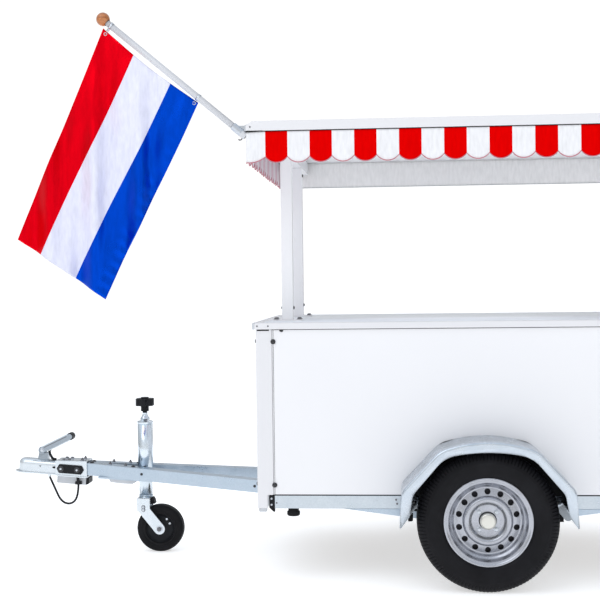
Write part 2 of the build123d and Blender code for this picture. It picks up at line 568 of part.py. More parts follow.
WING_IN = BOX_HALF - WALL_SETBACK
WING_FLOOR = 250.0
TAB_LENGTH, TAB_X, TAB_Z, TAB_THICK = 30.0, 340.0, 337.0, 6.0
STAY_X, STAY_WIDTH, STAY_THICK, LUG_X, LUG_Z, LUG_R = 296.0, 42.0, 6.0, 344.0, 284.0, 18.0
STAY_REACH = hypot(LUG_X - STAY_X, LUG_Z - RAIL_MID)
STAY_FALL = degrees(atan2(LUG_Z - RAIL_MID, LUG_X - STAY_X))
with BuildPart() as wing_hollow:
    with BuildSketch(Plane.XZ.offset(WING_IN)) as inner_arch:
        with BuildLine():
            arch_line(
                [(WING_TIP[0] - WING_SHEET, WING_FLOOR)], (WING_KNEE[0] - WING_SHEET, WING_KNEE[1] - 1),
                (WING_SHOULDER[0] - 1, WING_SHOULDER[1] - WING_SHEET), WING_CROWN - WING_SHEET)
        make_face()
        fillet(inner_arch.vertices().group_by(Axis.Y)[-1], radius=SHOULDER_R - WING_SHEET)
        fillet(inner_arch.vertices().group_by(Axis.Y)[1], radius=KNEE_R - WING_SHEET)
    extrude(amount=WING_OUT - WING_SHEET - WING_IN)
    inner_rim = wing_hollow.faces().sort_by(Axis.Y)[0].edges()
    inner_rim = inner_rim.filter_by(lambda edge: edge.center().Z > WING_FLOOR + 1)
    chamfer(inner_rim, length=WING_ROLL - WING_SHEET)

with BuildPart() as wing_left:
    with BuildSketch(Plane.XZ.offset(WING_IN)) as arch:
        with BuildLine():
            arch_line([WING_TIP], WING_KNEE, WING_SHOULDER, WING_CROWN)
        make_face()
        fillet(arch.vertices().group_by(Axis.Y)[-1], radius=SHOULDER_R)
        fillet(arch.vertices().group_by(Axis.Y)[1], radius=KNEE_R)
    extrude(amount=WING_OUT - WING_IN)
    outer_rim = wing_left.faces().sort_by(Axis.Y)[0].edges()
    fillet(outer_rim.filter_by(lambda edge: edge.center().Z > WING_TIP[1] + 1), radius=WING_ROLL)
    add(wing_hollow.part, mode=Mode.SUBTRACT)
    with BuildSketch(Plane.XZ.offset(WING_OUT - WING_ROLL)) as mouth:
        with BuildLine():
            arch_line(
                [(WING_TIP[0] - 5, WING_FLOOR), (WING_TIP[0] - 5, WING_TIP[1] - 2), LIP_TIP],
                LIP_KNEE, LIP_SHOULDER, LIP_CROWN)
        make_face()
        fillet(mouth.vertices().group_by(Axis.Y)[-2], radius=LIP_KNEE_R)
        fillet(mouth.vertices().group_by(Axis.Y)[-1], radius=LIP_SHOULDER_R)
    extrude(amount=2 * WING_ROLL, mode=Mode.SUBTRACT)
    for end in (-1, 1):
        with Locations((AXLE_X + end * TAB_X, -(WING_IN + WING_OUT) / 2, TAB_Z)):
            Box(TAB_LENGTH, WING_OUT - WING_IN - 8, TAB_THICK)
        with BuildSketch(Plane.XZ.offset(RAIL_FACE)):
            with Locations((AXLE_X + end * STAY_X, RAIL_MID)):
                Rectangle(STAY_WIDTH, RAIL_HEIGHT - 2)
            with Locations((AXLE_X + end * (STAY_X + LUG_X) / 2, (RAIL_MID + LUG_Z) / 2)):
                SlotCenterToCenter(STAY_REACH, 2 * LUG_R, rotation=end * STAY_FALL)
        extrude(amount=STAY_THICK)
wing_left.part.label = "wing_left"
export_step(wing_left.part, "parts/wing_left.step")

with BuildPart() as wing_right:
    mirror(wing_left.part, about=MID_PLANE)
wing_right.part.label = "wing_right"
export_step(wing_right.part, "parts/wing_right.step")

# Drawbar: two beams in a V, mitred at the front and bolted to the front cross rail by end plates
BEAM_DIR = Vector(BEAM_RUN, -BEAM_SPREAD, -BEAM_DROP).normalized()
BEAM_ORIGIN = Vector(BEAM_START[0], -BEAM_START[1], BEAM_START[2]) - BEAM_DIR * 120
BEAM_PLANE = Plane(BEAM_ORIGIN, x_dir=(BEAM_SPREAD, BEAM_RUN, 0), z_dir=BEAM_DIR)
END_PLATE, END_PLATE_WIDTH = 6.0, 100.0
BEAM_END = BOX_FRONT + 2.0
with BuildPart() as drawbar_beam_left:
    with BuildSketch(BEAM_PLANE):
        Rectangle(BEAM_WIDTH - 1, BEAM_HEIGHT)
        Rectangle(BEAM_WIDTH - 1 - 2 * BEAM_WALL, BEAM_HEIGHT - 2 * BEAM_WALL, mode=Mode.SUBTRACT)
    extrude(amount=1.5 * BEAM_RUN)
    split(bisect_by=Plane.YZ.offset(BEAM_FRONT), keep=Keep.TOP)
    split(bisect_by=Plane.YZ.offset(BEAM_END - END_PLATE), keep=Keep.BOTTOM)
    split(bisect_by=MID_PLANE.offset(0.5), keep=Keep.TOP)
    with Locations((BEAM_END - END_PLATE / 2, -177, RAIL_MID)):
        Box(END_PLATE, END_PLATE_WIDTH, RAIL_HEIGHT - 2)
drawbar_beam_left.part.label = "drawbar_beam_left"
export_step(drawbar_beam_left.part, "parts/drawbar_beam_left.step")

with BuildPart() as drawbar_beam_right:
    mirror(drawbar_beam_left.part, about=MID_PLANE)
drawbar_beam_right.part.label = "drawbar_beam_right"
export_step(drawbar_beam_right.part, "parts/drawbar_beam_right.step")

# Coupling: nose channel over the beams' ends, pressed head with ball socket, lever, side plates, box
LIP_TILT = Rotation(0, LIP_SLOPE, 0)
LIP_PLANE = Plane(Location((NOSE_X, 0, LIP_Z)) * LIP_TILT)


def lip_height(x):
    """Height of the coupling's lower lip at a station along X."""
    return LIP_Z - (x - NOSE_X) * tan(radians(LIP_SLOPE))


NECK_REAR = NECK_X + NECK_LENGTH
NECK_TOPS = (441.0, 437.0)
GLAND_R, GLAND_LENGTH = 7.0, 11.0
CABLE_END = (AXLE_X - 1894.0, -43.0)
with BuildPart() as drawbar_nose:
    for half, inset, mode in ((NECK_HALF, 0, Mode.ADD), (NECK_HALF - NECK_WALL, NECK_WALL, Mode.SUBTRACT)):
        with BuildSketch(Plane.XZ.offset(-half)):
            with BuildLine():
                Polyline(
                    (NECK_X, lip_height(NECK_X) + inset), (NECK_REAR, lip_height(NECK_REAR) + inset),
                    (NECK_REAR, NECK_TOPS[1] - inset), (NECK_X, NECK_TOPS[0] - inset), close=True)
            make_face()
        extrude(amount=2 * half, mode=mode)
    with BuildSketch(LIP_PLANE):
        with Locations(((NECK_X + NECK_REAR) / 2 - NOSE_X, 0)):
            Rectangle(NECK_LENGTH - 4, 2 * NECK_HALF + 14)
            Rectangle(NECK_LENGTH - 4, 2 * NECK_HALF - 2, mode=Mode.SUBTRACT)
    extrude(amount=LIP_THICK)
    with Locations((*CABLE_END, lip_height(CABLE_END[0]) - GLAND_LENGTH / 2 + 2)):
        Cylinder(GLAND_R, GLAND_LENGTH)
drawbar_nose.part.label = "drawbar_nose"
export_step(drawbar_nose.part, "parts/drawbar_nose.step")

HEAD_CENTRE, HEAD_END = 53.0, 240.0
SOCKET_X, SOCKET_TOP, SOCKET_CROWN = NOSE_X + 55.0, 412.0, 22.0
CABLE_START = (AXLE_X - 2036.0, -41.0)
with BuildPart() as coupling_head:
    with BuildSketch(LIP_PLANE):
        with Locations((HEAD_CENTRE, 0)):
            Circle(HEAD_R)
        with Locations(((HEAD_CENTRE + HEAD_END) / 2, 0)):
            Rectangle(HEAD_END - HEAD_CENTRE, 2 * HEAD_R)
    extrude(amount=HEAD_HEIGHT)
    fillet(coupling_head.faces().sort_by(Axis.Z)[-1].edges(), radius=HEAD_CURVE_R)
    with BuildSketch(LIP_PLANE):
        with Locations((HEAD_CENTRE, 0)):
            Circle(HEAD_CENTRE)
        with Locations(((HEAD_CENTRE + HEAD_END) / 2, 0)):
            Rectangle(HEAD_END - HEAD_CENTRE, 2 * (HEAD_R + 10))
    extrude(amount=LIP_THICK)
    split(bisect_by=Plane.YZ.offset(NECK_X), keep=Keep.BOTTOM)
    with BuildSketch(LIP_PLANE.offset(-1)):
        with Locations((HEAD_CENTRE + BALL_R + HEAD_WALL + 4, 0)):
            Rectangle(HEAD_END, 2 * (HEAD_R - HEAD_WALL), align=(Align.MIN, Align.CENTER))
    extrude(amount=HEAD_HEIGHT - HEAD_WALL, mode=Mode.SUBTRACT)
    with Locations((SOCKET_X, 0, SOCKET_TOP - 50)):
        Cylinder(BALL_R, 100, mode=Mode.SUBTRACT)
    with Locations((SOCKET_X, 0, SOCKET_TOP + SOCKET_CROWN / 2)):
        Cylinder(BALL_R / 2, SOCKET_CROWN, mode=Mode.SUBTRACT)
    with Locations((*CABLE_START, lip_height(CABLE_START[0]) - GLAND_LENGTH / 2 + 2)):
        Cylinder(GLAND_R, GLAND_LENGTH)
coupling_head.part.label = "coupling_head"
export_step(coupling_head.part, "parts/coupling_head.step")

LEVER_PIVOT = (AXLE_X - 2076.0, 485.0)
LEVER_ANGLE, LEVER_LENGTH, LEVER_HALF, LEVER_SHEET = 25.4, 150.0, 22.0, 4.0
LEVER_DEPTH, LEVER_RISE, PEDESTAL_LENGTH, PEDESTAL_WIDTH, PEDESTAL_HEIGHT = 28.0, 2.0, 48.0, 34.0, 34.0
LEVER_ALONG = (cos(radians(LEVER_ANGLE)), 0, sin(radians(LEVER_ANGLE)))
LEVER_PLANE = Plane((LEVER_PIVOT[0], LEVER_HALF, LEVER_PIVOT[1]), x_dir=LEVER_ALONG, z_dir=(0, -1, 0))
with BuildPart() as coupling_lever:
    with BuildSketch(LIP_PLANE.offset(HEAD_HEIGHT)):
        with Locations((LEVER_PIVOT[0] - NOSE_X - 4, 0)):
            Rectangle(PEDESTAL_LENGTH, PEDESTAL_WIDTH)
    extrude(amount=PEDESTAL_HEIGHT, taper=5)
    with BuildSketch(LEVER_PLANE):
        with Locations((LEVER_LENGTH / 2, LEVER_RISE)):
            SlotCenterToCenter(LEVER_LENGTH, LEVER_DEPTH)
    extrude(amount=2 * LEVER_HALF)
    with BuildSketch(LEVER_PLANE.offset(LEVER_SHEET)):
        with Locations((LEVER_LENGTH / 2, LEVER_RISE - LEVER_SHEET)):
            Rectangle(LEVER_LENGTH - PEDESTAL_LENGTH, LEVER_DEPTH)
    extrude(amount=2 * (LEVER_HALF - LEVER_SHEET), mode=Mode.SUBTRACT)
coupling_lever.part.label = "coupling_lever"
export_step(coupling_lever.part, "parts/coupling_lever.step")

PLATE_HALF, PLATE_EDGE, PLATE_RISE, PLATE_THICK = 66.0, 54.0, 21.0, 8.0
PLATE_ALONG = (cos(radians(LIP_SLOPE)), 0, -sin(radians(LIP_SLOPE)))
PLATE_PLANE = Plane((AXLE_X - 1930.0, -NECK_HALF, 400.0), x_dir=PLATE_ALONG, z_dir=(0, -1, 0))
with BuildPart() as coupling_side_plates:
    with BuildSketch(PLATE_PLANE):
        with BuildLine():
            Polyline(
                (-PLATE_HALF, 0), (-PLATE_EDGE, PLATE_RISE), (PLATE_EDGE, PLATE_RISE),
                (PLATE_HALF, 0), (PLATE_EDGE, -PLATE_RISE), (-PLATE_EDGE, -PLATE_RISE), close=True)
        make_face()
    extrude(amount=PLATE_THICK)
    mirror(about=MID_PLANE)
coupling_side_plates.part.label = "coupling_side_plates"
export_step(coupling_side_plates.part, "parts/coupling_side_plates.step")

CABLE_BOX_HALF, CABLE_BOX_DEPTH = 35.0, 38.0
with BuildPart() as cable_box:
    with BuildSketch(LIP_PLANE):
        with Locations(((NECK_X + NECK_REAR) / 2 - NOSE_X, 0)):
            RectangleRounded(NECK_LENGTH - 6, 2 * CABLE_BOX_HALF, 8)
    extrude(amount=-CABLE_BOX_DEPTH)
cable_box.part.label = "cable_box"
export_step(cable_box.part, "parts/cable_box.step")

CLIP_Z, CLIP_HEIGHT, CLIP_LENGTH, CLIP_OUT = 333.0, 14.0, 30.0, 52.0
with BuildPart() as cable_clip:
    with Locations((CABLE_END[0], -(CLIP_OUT + CABLE_BOX_HALF) / 2, CLIP_Z)):
        Box(CLIP_LENGTH, CLIP_OUT - CABLE_BOX_HALF, CLIP_HEIGHT)
    with Locations((CABLE_END[0], CABLE_END[1], CLIP_Z)):
        Cylinder(CABLE_R + 1, 2 * CLIP_HEIGHT, mode=Mode.SUBTRACT)
cable_clip.part.label = "cable_clip"
export_step(cable_clip.part, "parts/cable_clip.step")

# Safety cable: a loop that hangs from the head's gland to the gland under the nose channel
CABLE_ROUTE = (
    (CABLE_START[0], CABLE_START[1], lip_height(CABLE_START[0]) - GLAND_LENGTH + 2),
    (-1439.0, -41.5, 331.0),
    (-1421.5, -42.0, 292.0),
    (-1404.0, -42.5, 255.0),
    (-1381.0, -43.0, 235.7),
    (-1355.0, -43.0, 232.0),
    (-1332.5, -43.0, 243.5),
    (-1320.0, -43.0, 267.5),
    (-1314.5, -43.0, 298.5),
    (-1312.6, -43.0, 330.0),
    (CABLE_END[0], CABLE_END[1], lip_height(CABLE_END[0]) - GLAND_LENGTH + 2),
)


def bend_radii(route):
    """Largest bend radius at each inner point of a cord's route: 0.45 of the shorter run beside it."""
    points = [Vector(*point) for point in route]
    radii = []
    for before, here, after in zip(points, points[1:], points[2:]):
        shorter = min((here - before).length, (after - here).length)
        turn = radians((here - before).get_angle(after - here))
        radii.append(0.45 * shorter / tan(turn / 2))
    return radii


CABLE_RADII = bend_radii(CABLE_ROUTE)
print("cable bend radii", [round(radius) for radius in CABLE_RADII])
with BuildPart() as safety_cable:
    with BuildLine() as cable_path:
        FilletPolyline(*CABLE_ROUTE, radius=CABLE_RADII)
    with BuildSketch(Plane(cable_path.line @ 0, z_dir=cable_path.line % 0)):
        RegularPolygon(CABLE_R, CABLE_SIDES)
    sweep()
    add(coupling_head.part, mode=Mode.SUBTRACT)
    add(drawbar_nose.part, mode=Mode.SUBTRACT)
safety_cable.part.label = "safety_cable"
export_step(safety_cable.part, "parts/safety_cable.step")

# Jockey wheel: clamp plate, outer tube with spindle, knob, sliding leg, swivelling fork, wheel
CLAMP_FRONT, CLAMP_LENGTH, CLAMP_HALF, CLAMP_THICK = AXLE_X - 1790.0, 260.0, 75.0, 8.0
BEAM_TILT = degrees(atan2(BEAM_DROP, BEAM_RUN))
CLAMP_TOP = 427.2 - BEAM_HEIGHT - (CLAMP_FRONT - BEAM_START[0]) * BEAM_DROP / BEAM_RUN
CLAMP_PLANE = Plane(Location((CLAMP_FRONT, 0, CLAMP_TOP)) * Rotation(0, BEAM_TILT, 0))
with BuildPart() as jockey_clamp:
    with BuildSketch(CLAMP_PLANE):
        with Locations((CLAMP_LENGTH / 2, 0)):
            Rectangle(CLAMP_LENGTH, 2 * CLAMP_HALF)
    extrude(amount=-CLAMP_THICK)
    with Locations((JOCKEY_X, 0, JOCKEY_LOW)):
        Cylinder(JOCKEY_TUBE_R, 200, mode=Mode.SUBTRACT)
    add(drawbar_beam_left.part, mode=Mode.SUBTRACT)
    add(drawbar_beam_right.part, mode=Mode.SUBTRACT)
jockey_clamp.part.label = "jockey_clamp"
export_step(jockey_clamp.part, "parts/jockey_clamp.step")

JOCKEY_PLANE = Plane((JOCKEY_X, 0, 0), x_dir=(1, 0, 0), z_dir=(0, -1, 0))
JOCKEY_AXIS = Axis((JOCKEY_X, 0, 0), (0, 0, 1))
JOCKEY_LID = JOCKEY_TOP - 8.0
SPINDLE_TOP = JOCKEY_TOP + 48.0
TUBE_SECTION = (
    (JOCKEY_BORE_R, JOCKEY_LOW), (JOCKEY_TUBE_R, JOCKEY_LOW), (JOCKEY_TUBE_R, JOCKEY_TOP),
    (22, JOCKEY_TOP), (22, JOCKEY_TOP + 14), (11, JOCKEY_TOP + 14), (11, SPINDLE_TOP), (0, SPINDLE_TOP),
    (0, JOCKEY_LID), (JOCKEY_BORE_R, JOCKEY_LID),
)
with BuildPart() as jockey_tube:
    with BuildSketch(JOCKEY_PLANE):
        with BuildLine():
            Polyline(*TUBE_SECTION, close=True)
        make_face()
    revolve(axis=JOCKEY_AXIS)
jockey_tube.part.label = "jockey_tube"
export_step(jockey_tube.part, "parts/jockey_tube.step")

KNOB_R, KNOB_LOBES, KNOB_DIP_R, KNOB_DIP_CIRCLE = 44.0, 6, 16.0, 53.0
KNOB_NECK_R, KNOB_NECK, KNOB_DEPTH, KNOB_CROWN = 19.0, 26.0, 35.0, 6.0
with BuildPart() as jockey_knob:
    with BuildSketch(Plane((JOCKEY_X, 0, SPINDLE_TOP))):
        Circle(KNOB_NECK_R)
    extrude(amount=KNOB_NECK)
    with BuildSketch(Plane((JOCKEY_X, 0, SPINDLE_TOP + KNOB_NECK))):
        Circle(KNOB_R)
        with PolarLocations(KNOB_DIP_CIRCLE, KNOB_LOBES):
            Circle(KNOB_DIP_R, mode=Mode.SUBTRACT)
    extrude(amount=KNOB_DEPTH)
    with Locations((JOCKEY_X, 0, SPINDLE_TOP + KNOB_NECK + KNOB_DEPTH + KNOB_CROWN / 2)):
        Cylinder(KNOB_NECK_R, KNOB_CROWN)
jockey_knob.part.label = "jockey_knob"
export_step(jockey_knob.part, "parts/jockey_knob.step")

LEG_PLUG_TOP = LEG_LOW + 26.0
LEG_SECTION = (
    (SWIVEL_R + RUNNING_GAP, LEG_LOW), (LEG_R, LEG_LOW), (LEG_R, LEG_TOP), (LEG_BORE_R, LEG_TOP),
    (LEG_BORE_R, LEG_PLUG_TOP), (SWIVEL_R + RUNNING_GAP, LEG_PLUG_TOP),
)
with BuildPart() as jockey_leg:
    with BuildSketch(JOCKEY_PLANE):
        with BuildLine():
            Polyline(*LEG_SECTION, close=True)
        make_face()
    revolve(axis=JOCKEY_AXIS)
jockey_leg.part.label = "jockey_leg"
export_step(jockey_leg.part, "parts/jockey_leg.step")

FORK_HEAD_WIDTH, FORK_ARM_WIDTH = 62.0, 52.0
FORK_RUN, FORK_FALL = JOCKEY_AXLE[0] - FORK_BOLT[0], JOCKEY_AXLE[1] - FORK_BOLT[1]
with BuildPart() as jockey_fork:
    with BuildSketch(Plane.XZ.offset(FORK_IN)):
        with Locations(((FORK_BOLT[0] + JOCKEY_AXLE[0]) / 2, (FORK_BOLT[1] + JOCKEY_AXLE[1]) / 2)):
            SlotCenterToCenter(
                hypot(FORK_RUN, FORK_FALL), FORK_ARM_WIDTH, rotation=degrees(atan2(FORK_FALL, FORK_RUN)))
        with Locations((FORK_BOLT[0], FORK_TOP)):
            Rectangle(FORK_HEAD_WIDTH, FORK_TOP - FORK_BOLT[1] + 10, align=(Align.CENTER, Align.MAX))
    extrude(amount=FORK_OUT - FORK_IN)
    mirror(about=MID_PLANE)
    with Locations((FORK_BOLT[0], 0, (FORK_TOP + FORK_LOW) / 2)):
        Box(FORK_HEAD_WIDTH, 2 * FORK_IN, FORK_TOP - FORK_LOW)
    with Locations((JOCKEY_X, 0, FORK_TOP - 10)):
        Cylinder(SWIVEL_R, 2 * (LEG_PLUG_TOP - FORK_TOP) - 4)
    with Locations((JOCKEY_AXLE[0], 0, JOCKEY_AXLE[1])):
        Cylinder(JOCKEY_BOLT_R, 2 * FORK_OUT + 16, rotation=(90, 0, 0))
jockey_fork.part.label = "jockey_fork"
export_step(jockey_fork.part, "parts/jockey_fork.step")

JOCKEY_WHEEL_AXIS = Axis((JOCKEY_AXLE[0], 0, JOCKEY_AXLE[1]), (0, 1, 0))
JOCKEY_WHEEL_PLANE = Plane((JOCKEY_AXLE[0], 0, JOCKEY_AXLE[1]), x_dir=(0, 0, 1), z_dir=(1, 0, 0))
JOCKEY_TYRE_SIDE = ((JOCKEY_RIM_R, 33), (JOCKEY_R, 33))
with BuildPart() as jockey_tyre:
    with BuildSketch(JOCKEY_WHEEL_PLANE):
        with BuildLine():
            Polyline(*JOCKEY_TYRE_SIDE, *[(r, -out) for r, out in reversed(JOCKEY_TYRE_SIDE)], close=True)
        make_face()
    revolve(axis=JOCKEY_WHEEL_AXIS)
jockey_tyre.part.label = "jockey_tyre"
export_step(jockey_tyre.part, "parts/jockey_tyre.step")

HUB_SIDE = ((JOCKEY_BOLT_R + RUNNING_GAP, 34), (20, 34), (20, 22), (JOCKEY_RIM_R, 22))
with BuildPart() as jockey_hub:
    with BuildSketch(JOCKEY_WHEEL_PLANE):
        with BuildLine():
            Polyline(*HUB_SIDE, *[(r, -out) for r, out in reversed(HUB_SIDE)], close=True)
        make_face()
    revolve(axis=JOCKEY_WHEEL_AXIS)
jockey_hub.part.label = "jockey_hub"
export_step(jockey_hub.part, "parts/jockey_hub.step")
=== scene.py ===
"""Dresses the ice cream trailer: finishes, cloth, cable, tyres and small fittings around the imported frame.

Every size is in metres in the frame of the part: X runs from the coupling to the rear, Y from the left side
to the right side, and Z up from the ground. The striped left side faces the camera.
"""

from __future__ import annotations

import json
import logging
import math
from dataclasses import dataclass, field
from enum import Enum, IntEnum
from typing import Any, Callable, Iterable, Sequence

import bmesh
import bpy
from mathutils import Matrix, Vector

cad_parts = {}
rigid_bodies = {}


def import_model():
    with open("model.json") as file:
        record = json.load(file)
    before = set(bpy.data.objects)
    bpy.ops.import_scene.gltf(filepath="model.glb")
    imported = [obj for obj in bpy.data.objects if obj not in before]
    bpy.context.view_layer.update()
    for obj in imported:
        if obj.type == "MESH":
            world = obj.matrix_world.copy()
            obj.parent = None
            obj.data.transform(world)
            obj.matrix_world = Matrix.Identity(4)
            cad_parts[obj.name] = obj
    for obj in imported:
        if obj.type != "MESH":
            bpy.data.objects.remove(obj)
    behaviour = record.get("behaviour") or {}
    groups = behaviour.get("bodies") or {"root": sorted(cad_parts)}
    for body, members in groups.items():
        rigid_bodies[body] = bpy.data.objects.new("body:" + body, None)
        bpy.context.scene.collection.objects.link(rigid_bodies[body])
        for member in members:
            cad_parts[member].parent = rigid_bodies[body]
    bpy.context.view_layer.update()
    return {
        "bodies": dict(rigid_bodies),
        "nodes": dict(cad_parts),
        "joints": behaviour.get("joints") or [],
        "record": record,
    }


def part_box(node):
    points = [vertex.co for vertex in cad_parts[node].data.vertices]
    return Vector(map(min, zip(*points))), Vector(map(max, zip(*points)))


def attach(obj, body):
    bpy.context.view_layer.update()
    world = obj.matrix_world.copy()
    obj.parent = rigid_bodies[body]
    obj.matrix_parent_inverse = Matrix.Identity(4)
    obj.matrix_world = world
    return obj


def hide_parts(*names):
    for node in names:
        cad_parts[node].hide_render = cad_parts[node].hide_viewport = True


log = logging.getLogger("trailer")

Pair = tuple[float, float]
Point = tuple[float, float, float]
Colour = tuple[float, float, float]
MM = 0.001
WELD_GAP = 1e-5
SEAM_GAP = 1e-6
SHARP_ANGLE = math.radians(38)
FLAT_ANGLE = math.radians(0.4)
LEFTWARD: Point = (0.0, -1.0, 0.0)
UPWARD: Point = (0.0, 0.0, 1.0)
FORWARD: Point = (-1.0, 0.0, 0.0)
EVEN: Point = (1.0, 1.0, 1.0)
WHITE: Colour = (1.0, 1.0, 1.0)


class Body(Enum):
    """The bodies that the added pieces ride on."""

    CHASSIS = "chassis"
    WHEEL_LEFT = "wheel_left"
    WHEEL_RIGHT = "wheel_right"
    STEM = "jockey_stem"
    CASTER = "jockey_caster"
    JOCKEY_WHEEL = "jockey_wheel"


class Side(Enum):
    """The two sides of the trailer, by the sign of Y."""

    LEFT = -1
    RIGHT = 1


class Axis(IntEnum):
    """The two level axes, by their place in a point."""

    X = 0
    Y = 1


def metres(pairs: Iterable[Pair]) -> list[Pair]:
    """Pairs of millimetres in metres."""
    return [(first * MM, second * MM) for first, second in pairs]


def toned(colour: Colour, factor: float) -> Colour:
    """A colour made darker or lighter by a factor, up to full brightness."""
    return tuple(min(1.0, level * factor) for level in colour)


class Wire:
    """A shader value whose operators add Math nodes."""

    def __init__(self, graph: Graph, socket: bpy.types.NodeSocket) -> None:
        """Keeps the graph and the output socket that carries the value."""
        self.graph = graph
        self.socket = socket

    def __add__(self, other: Wire | float) -> Wire:
        """Sum."""
        return self.graph.math("ADD", self, other)

    def __sub__(self, other: Wire | float) -> Wire:
        """Difference."""
        return self.graph.math("SUBTRACT", self, other)

    def __rsub__(self, other: float) -> Wire:
        """Difference with the number on the left."""
        return self.graph.math("SUBTRACT", other, self)

    def __mul__(self, other: Wire | float) -> Wire:
        """Product."""
        return self.graph.math("MULTIPLY", self, other)

    __radd__ = __add__
    __rmul__ = __mul__


class Graph:
    """The node tree of a new material, or of a world."""

    EDGE_BAND = (0.52, 0.60)

    def __init__(self, name: str) -> None:
        """Makes the material with a Principled shader joined to its output."""
        self.material = bpy.data.materials.new(name)
        self.material.use_nodes = True
        self.tree = self.material.node_tree
        self.shader = self.tree.nodes["Principled BSDF"]

    @classmethod
    def of_world(cls, world: bpy.types.World) -> Graph:
        """The node tree of a world, with its Background as the shader.

        Args:
            world: World that uses nodes.

        Returns:
            The graph of its tree.
        """
        graph = cls.__new__(cls)
        graph.tree = world.node_tree
        graph.material = None
        graph.shader = graph.tree.nodes["Background"]
        return graph

    def node(
        self, kind: str, settings: dict[str, Any], sockets: dict[str | int, Any], output: str | int = 0,
    ) -> Wire:
        """Adds one node.

        Args:
            kind: Node type, such as "ShaderNodeTexNoise".
            settings: Node properties, set first; "stops" holds a ramp's (position, level) pairs.
            sockets: Values or wires for the node's inputs.
            output: Name or index of the output to return.

        Returns:
            The chosen output.
        """
        made = self.tree.nodes.new(kind)
        for key, value in settings.items():
            if key == "stops":
                self._set_stops(made.color_ramp, value)
            else:
                setattr(made, key, value)
        for key, value in sockets.items():
            self._feed(made.inputs[key], value)
        return Wire(self, made.outputs[output])

    @staticmethod
    def _set_stops(ramp: bpy.types.ColorRamp, stops: Sequence[Pair]) -> None:
        """Gives a ramp its grey stops.

        Args:
            ramp: Ramp of a new node.
            stops: (position, level) pairs in rising order.
        """
        while len(ramp.elements) < len(stops):
            ramp.elements.new(1.0)
        for element, (position, level) in zip(ramp.elements, stops):
            element.position = position
            element.color = (level, level, level, 1.0)

    def _feed(self, socket: bpy.types.NodeSocket, value: Any) -> None:
        """Gives an input socket its value.

        Args:
            socket: Input of a node.
            value: Wire to link, or the number, colour or vector to set.
        """
        if isinstance(value, Wire):
            self.tree.links.new(value.socket, socket)
        elif socket.type == "RGBA":
            socket.default_value = (*value, 1.0)
        else:
            socket.default_value = value

    def math(self, operation: str, *values: Wire | float) -> Wire:
        """Adds a Math node of that operation."""
        return self.node("ShaderNodeMath", {"operation": operation}, dict(enumerate(values)))

    def mix(
        self, share: Wire | float, first: Wire | Colour, second: Wire | Colour, blend: str = "MIX",
    ) -> Wire:
        """Mixes two colours, from the first at 0 to the second, or its blend over the first, at 1."""
        settings = {"data_type": "RGBA", "blend_type": blend}
        return self.node("ShaderNodeMix", settings, {0: share, 6: first, 7: second}, 2)

    def split(self, vector: Wire, name: str) -> Wire:
        """One coordinate of a vector: "X", "Y" or "Z"."""
        return self.node("ShaderNodeSeparateXYZ", {}, {0: vector}, name)

    def place(self, stretch: Point = EVEN) -> Wire:
        """Point on the surface in the part's frame, stretched along its axes."""
        where = self.node("ShaderNodeTexCoord", {}, {}, "Object")
        return self.node("ShaderNodeVectorMath", {"operation": "MULTIPLY"}, {0: where, 1: stretch})

    def axis(self, name: str) -> Wire:
        """One coordinate of the point on the surface: "X", "Y" or "Z"."""
        return self.split(self.place(), name)

    def noise(self, scale: float, detail: float = 3.0, stretch: Point = EVEN) -> Wire:
        """Soft cloudy noise from 0 to 1."""
        sockets = {"Vector": self.place(stretch), "Scale": scale, "Detail": detail}
        return self.node("ShaderNodeTexNoise", {}, sockets)

    def cells(self, scale: float) -> Wire:
        """A random level for each cell of a broken-up surface.

        Args:
            scale: Cells to the metre.

        Returns:
            A level from 0 to 1.
        """
        sockets = {"Vector": self.place(), "Scale": scale}
        colour = self.node("ShaderNodeTexVoronoi", {}, sockets, "Color")
        return self.node("ShaderNodeSeparateColor", {}, {0: colour})

    def ramp(self, value: Wire, *stops: Pair) -> Wire:
        """Maps a value by straight slopes between (position, level) stops."""
        return self.node("ShaderNodeValToRGB", {"stops": stops}, {0: value})

    def band(self, value: Wire, start: float, stop: float) -> Wire:
        """Maps a value to 0 up to the start, 1 from the stop on, and straight between them."""
        return self.ramp(value, (start, 0.0), (stop, 1.0))

    @staticmethod
    def swing(value: Wire, reach: float) -> Wire:
        """Maps a value from 0 to 1 evenly round 0, over a reach."""
        return (value - 0.5) * reach

    def worn_edges(self) -> Wire:
        """A mask that is bright along outward edges."""
        pointed = self.node("ShaderNodeNewGeometry", {}, {}, "Pointiness")
        return self.band(pointed, *self.EDGE_BAND)

    def bump(self, height: Wire, depth: float, strength: float) -> Wire:
        """Normal for a surface with that height pattern, depth in metres."""
        return self.node("ShaderNodeBump", {}, {"Height": height, "Distance": depth, "Strength": strength})

    def shade(self, **sockets: Any) -> bpy.types.Material:
        """Sets the shader's sockets.

        Args:
            sockets: Values or wires, under the sockets' names with underscores.

        Returns:
            The material, or None for a world.
        """
        for key, value in sockets.items():
            name = key.replace("_", " ").title().replace("Ior", "IOR")
            self._feed(self.shader.inputs[name], value)
        return self.material


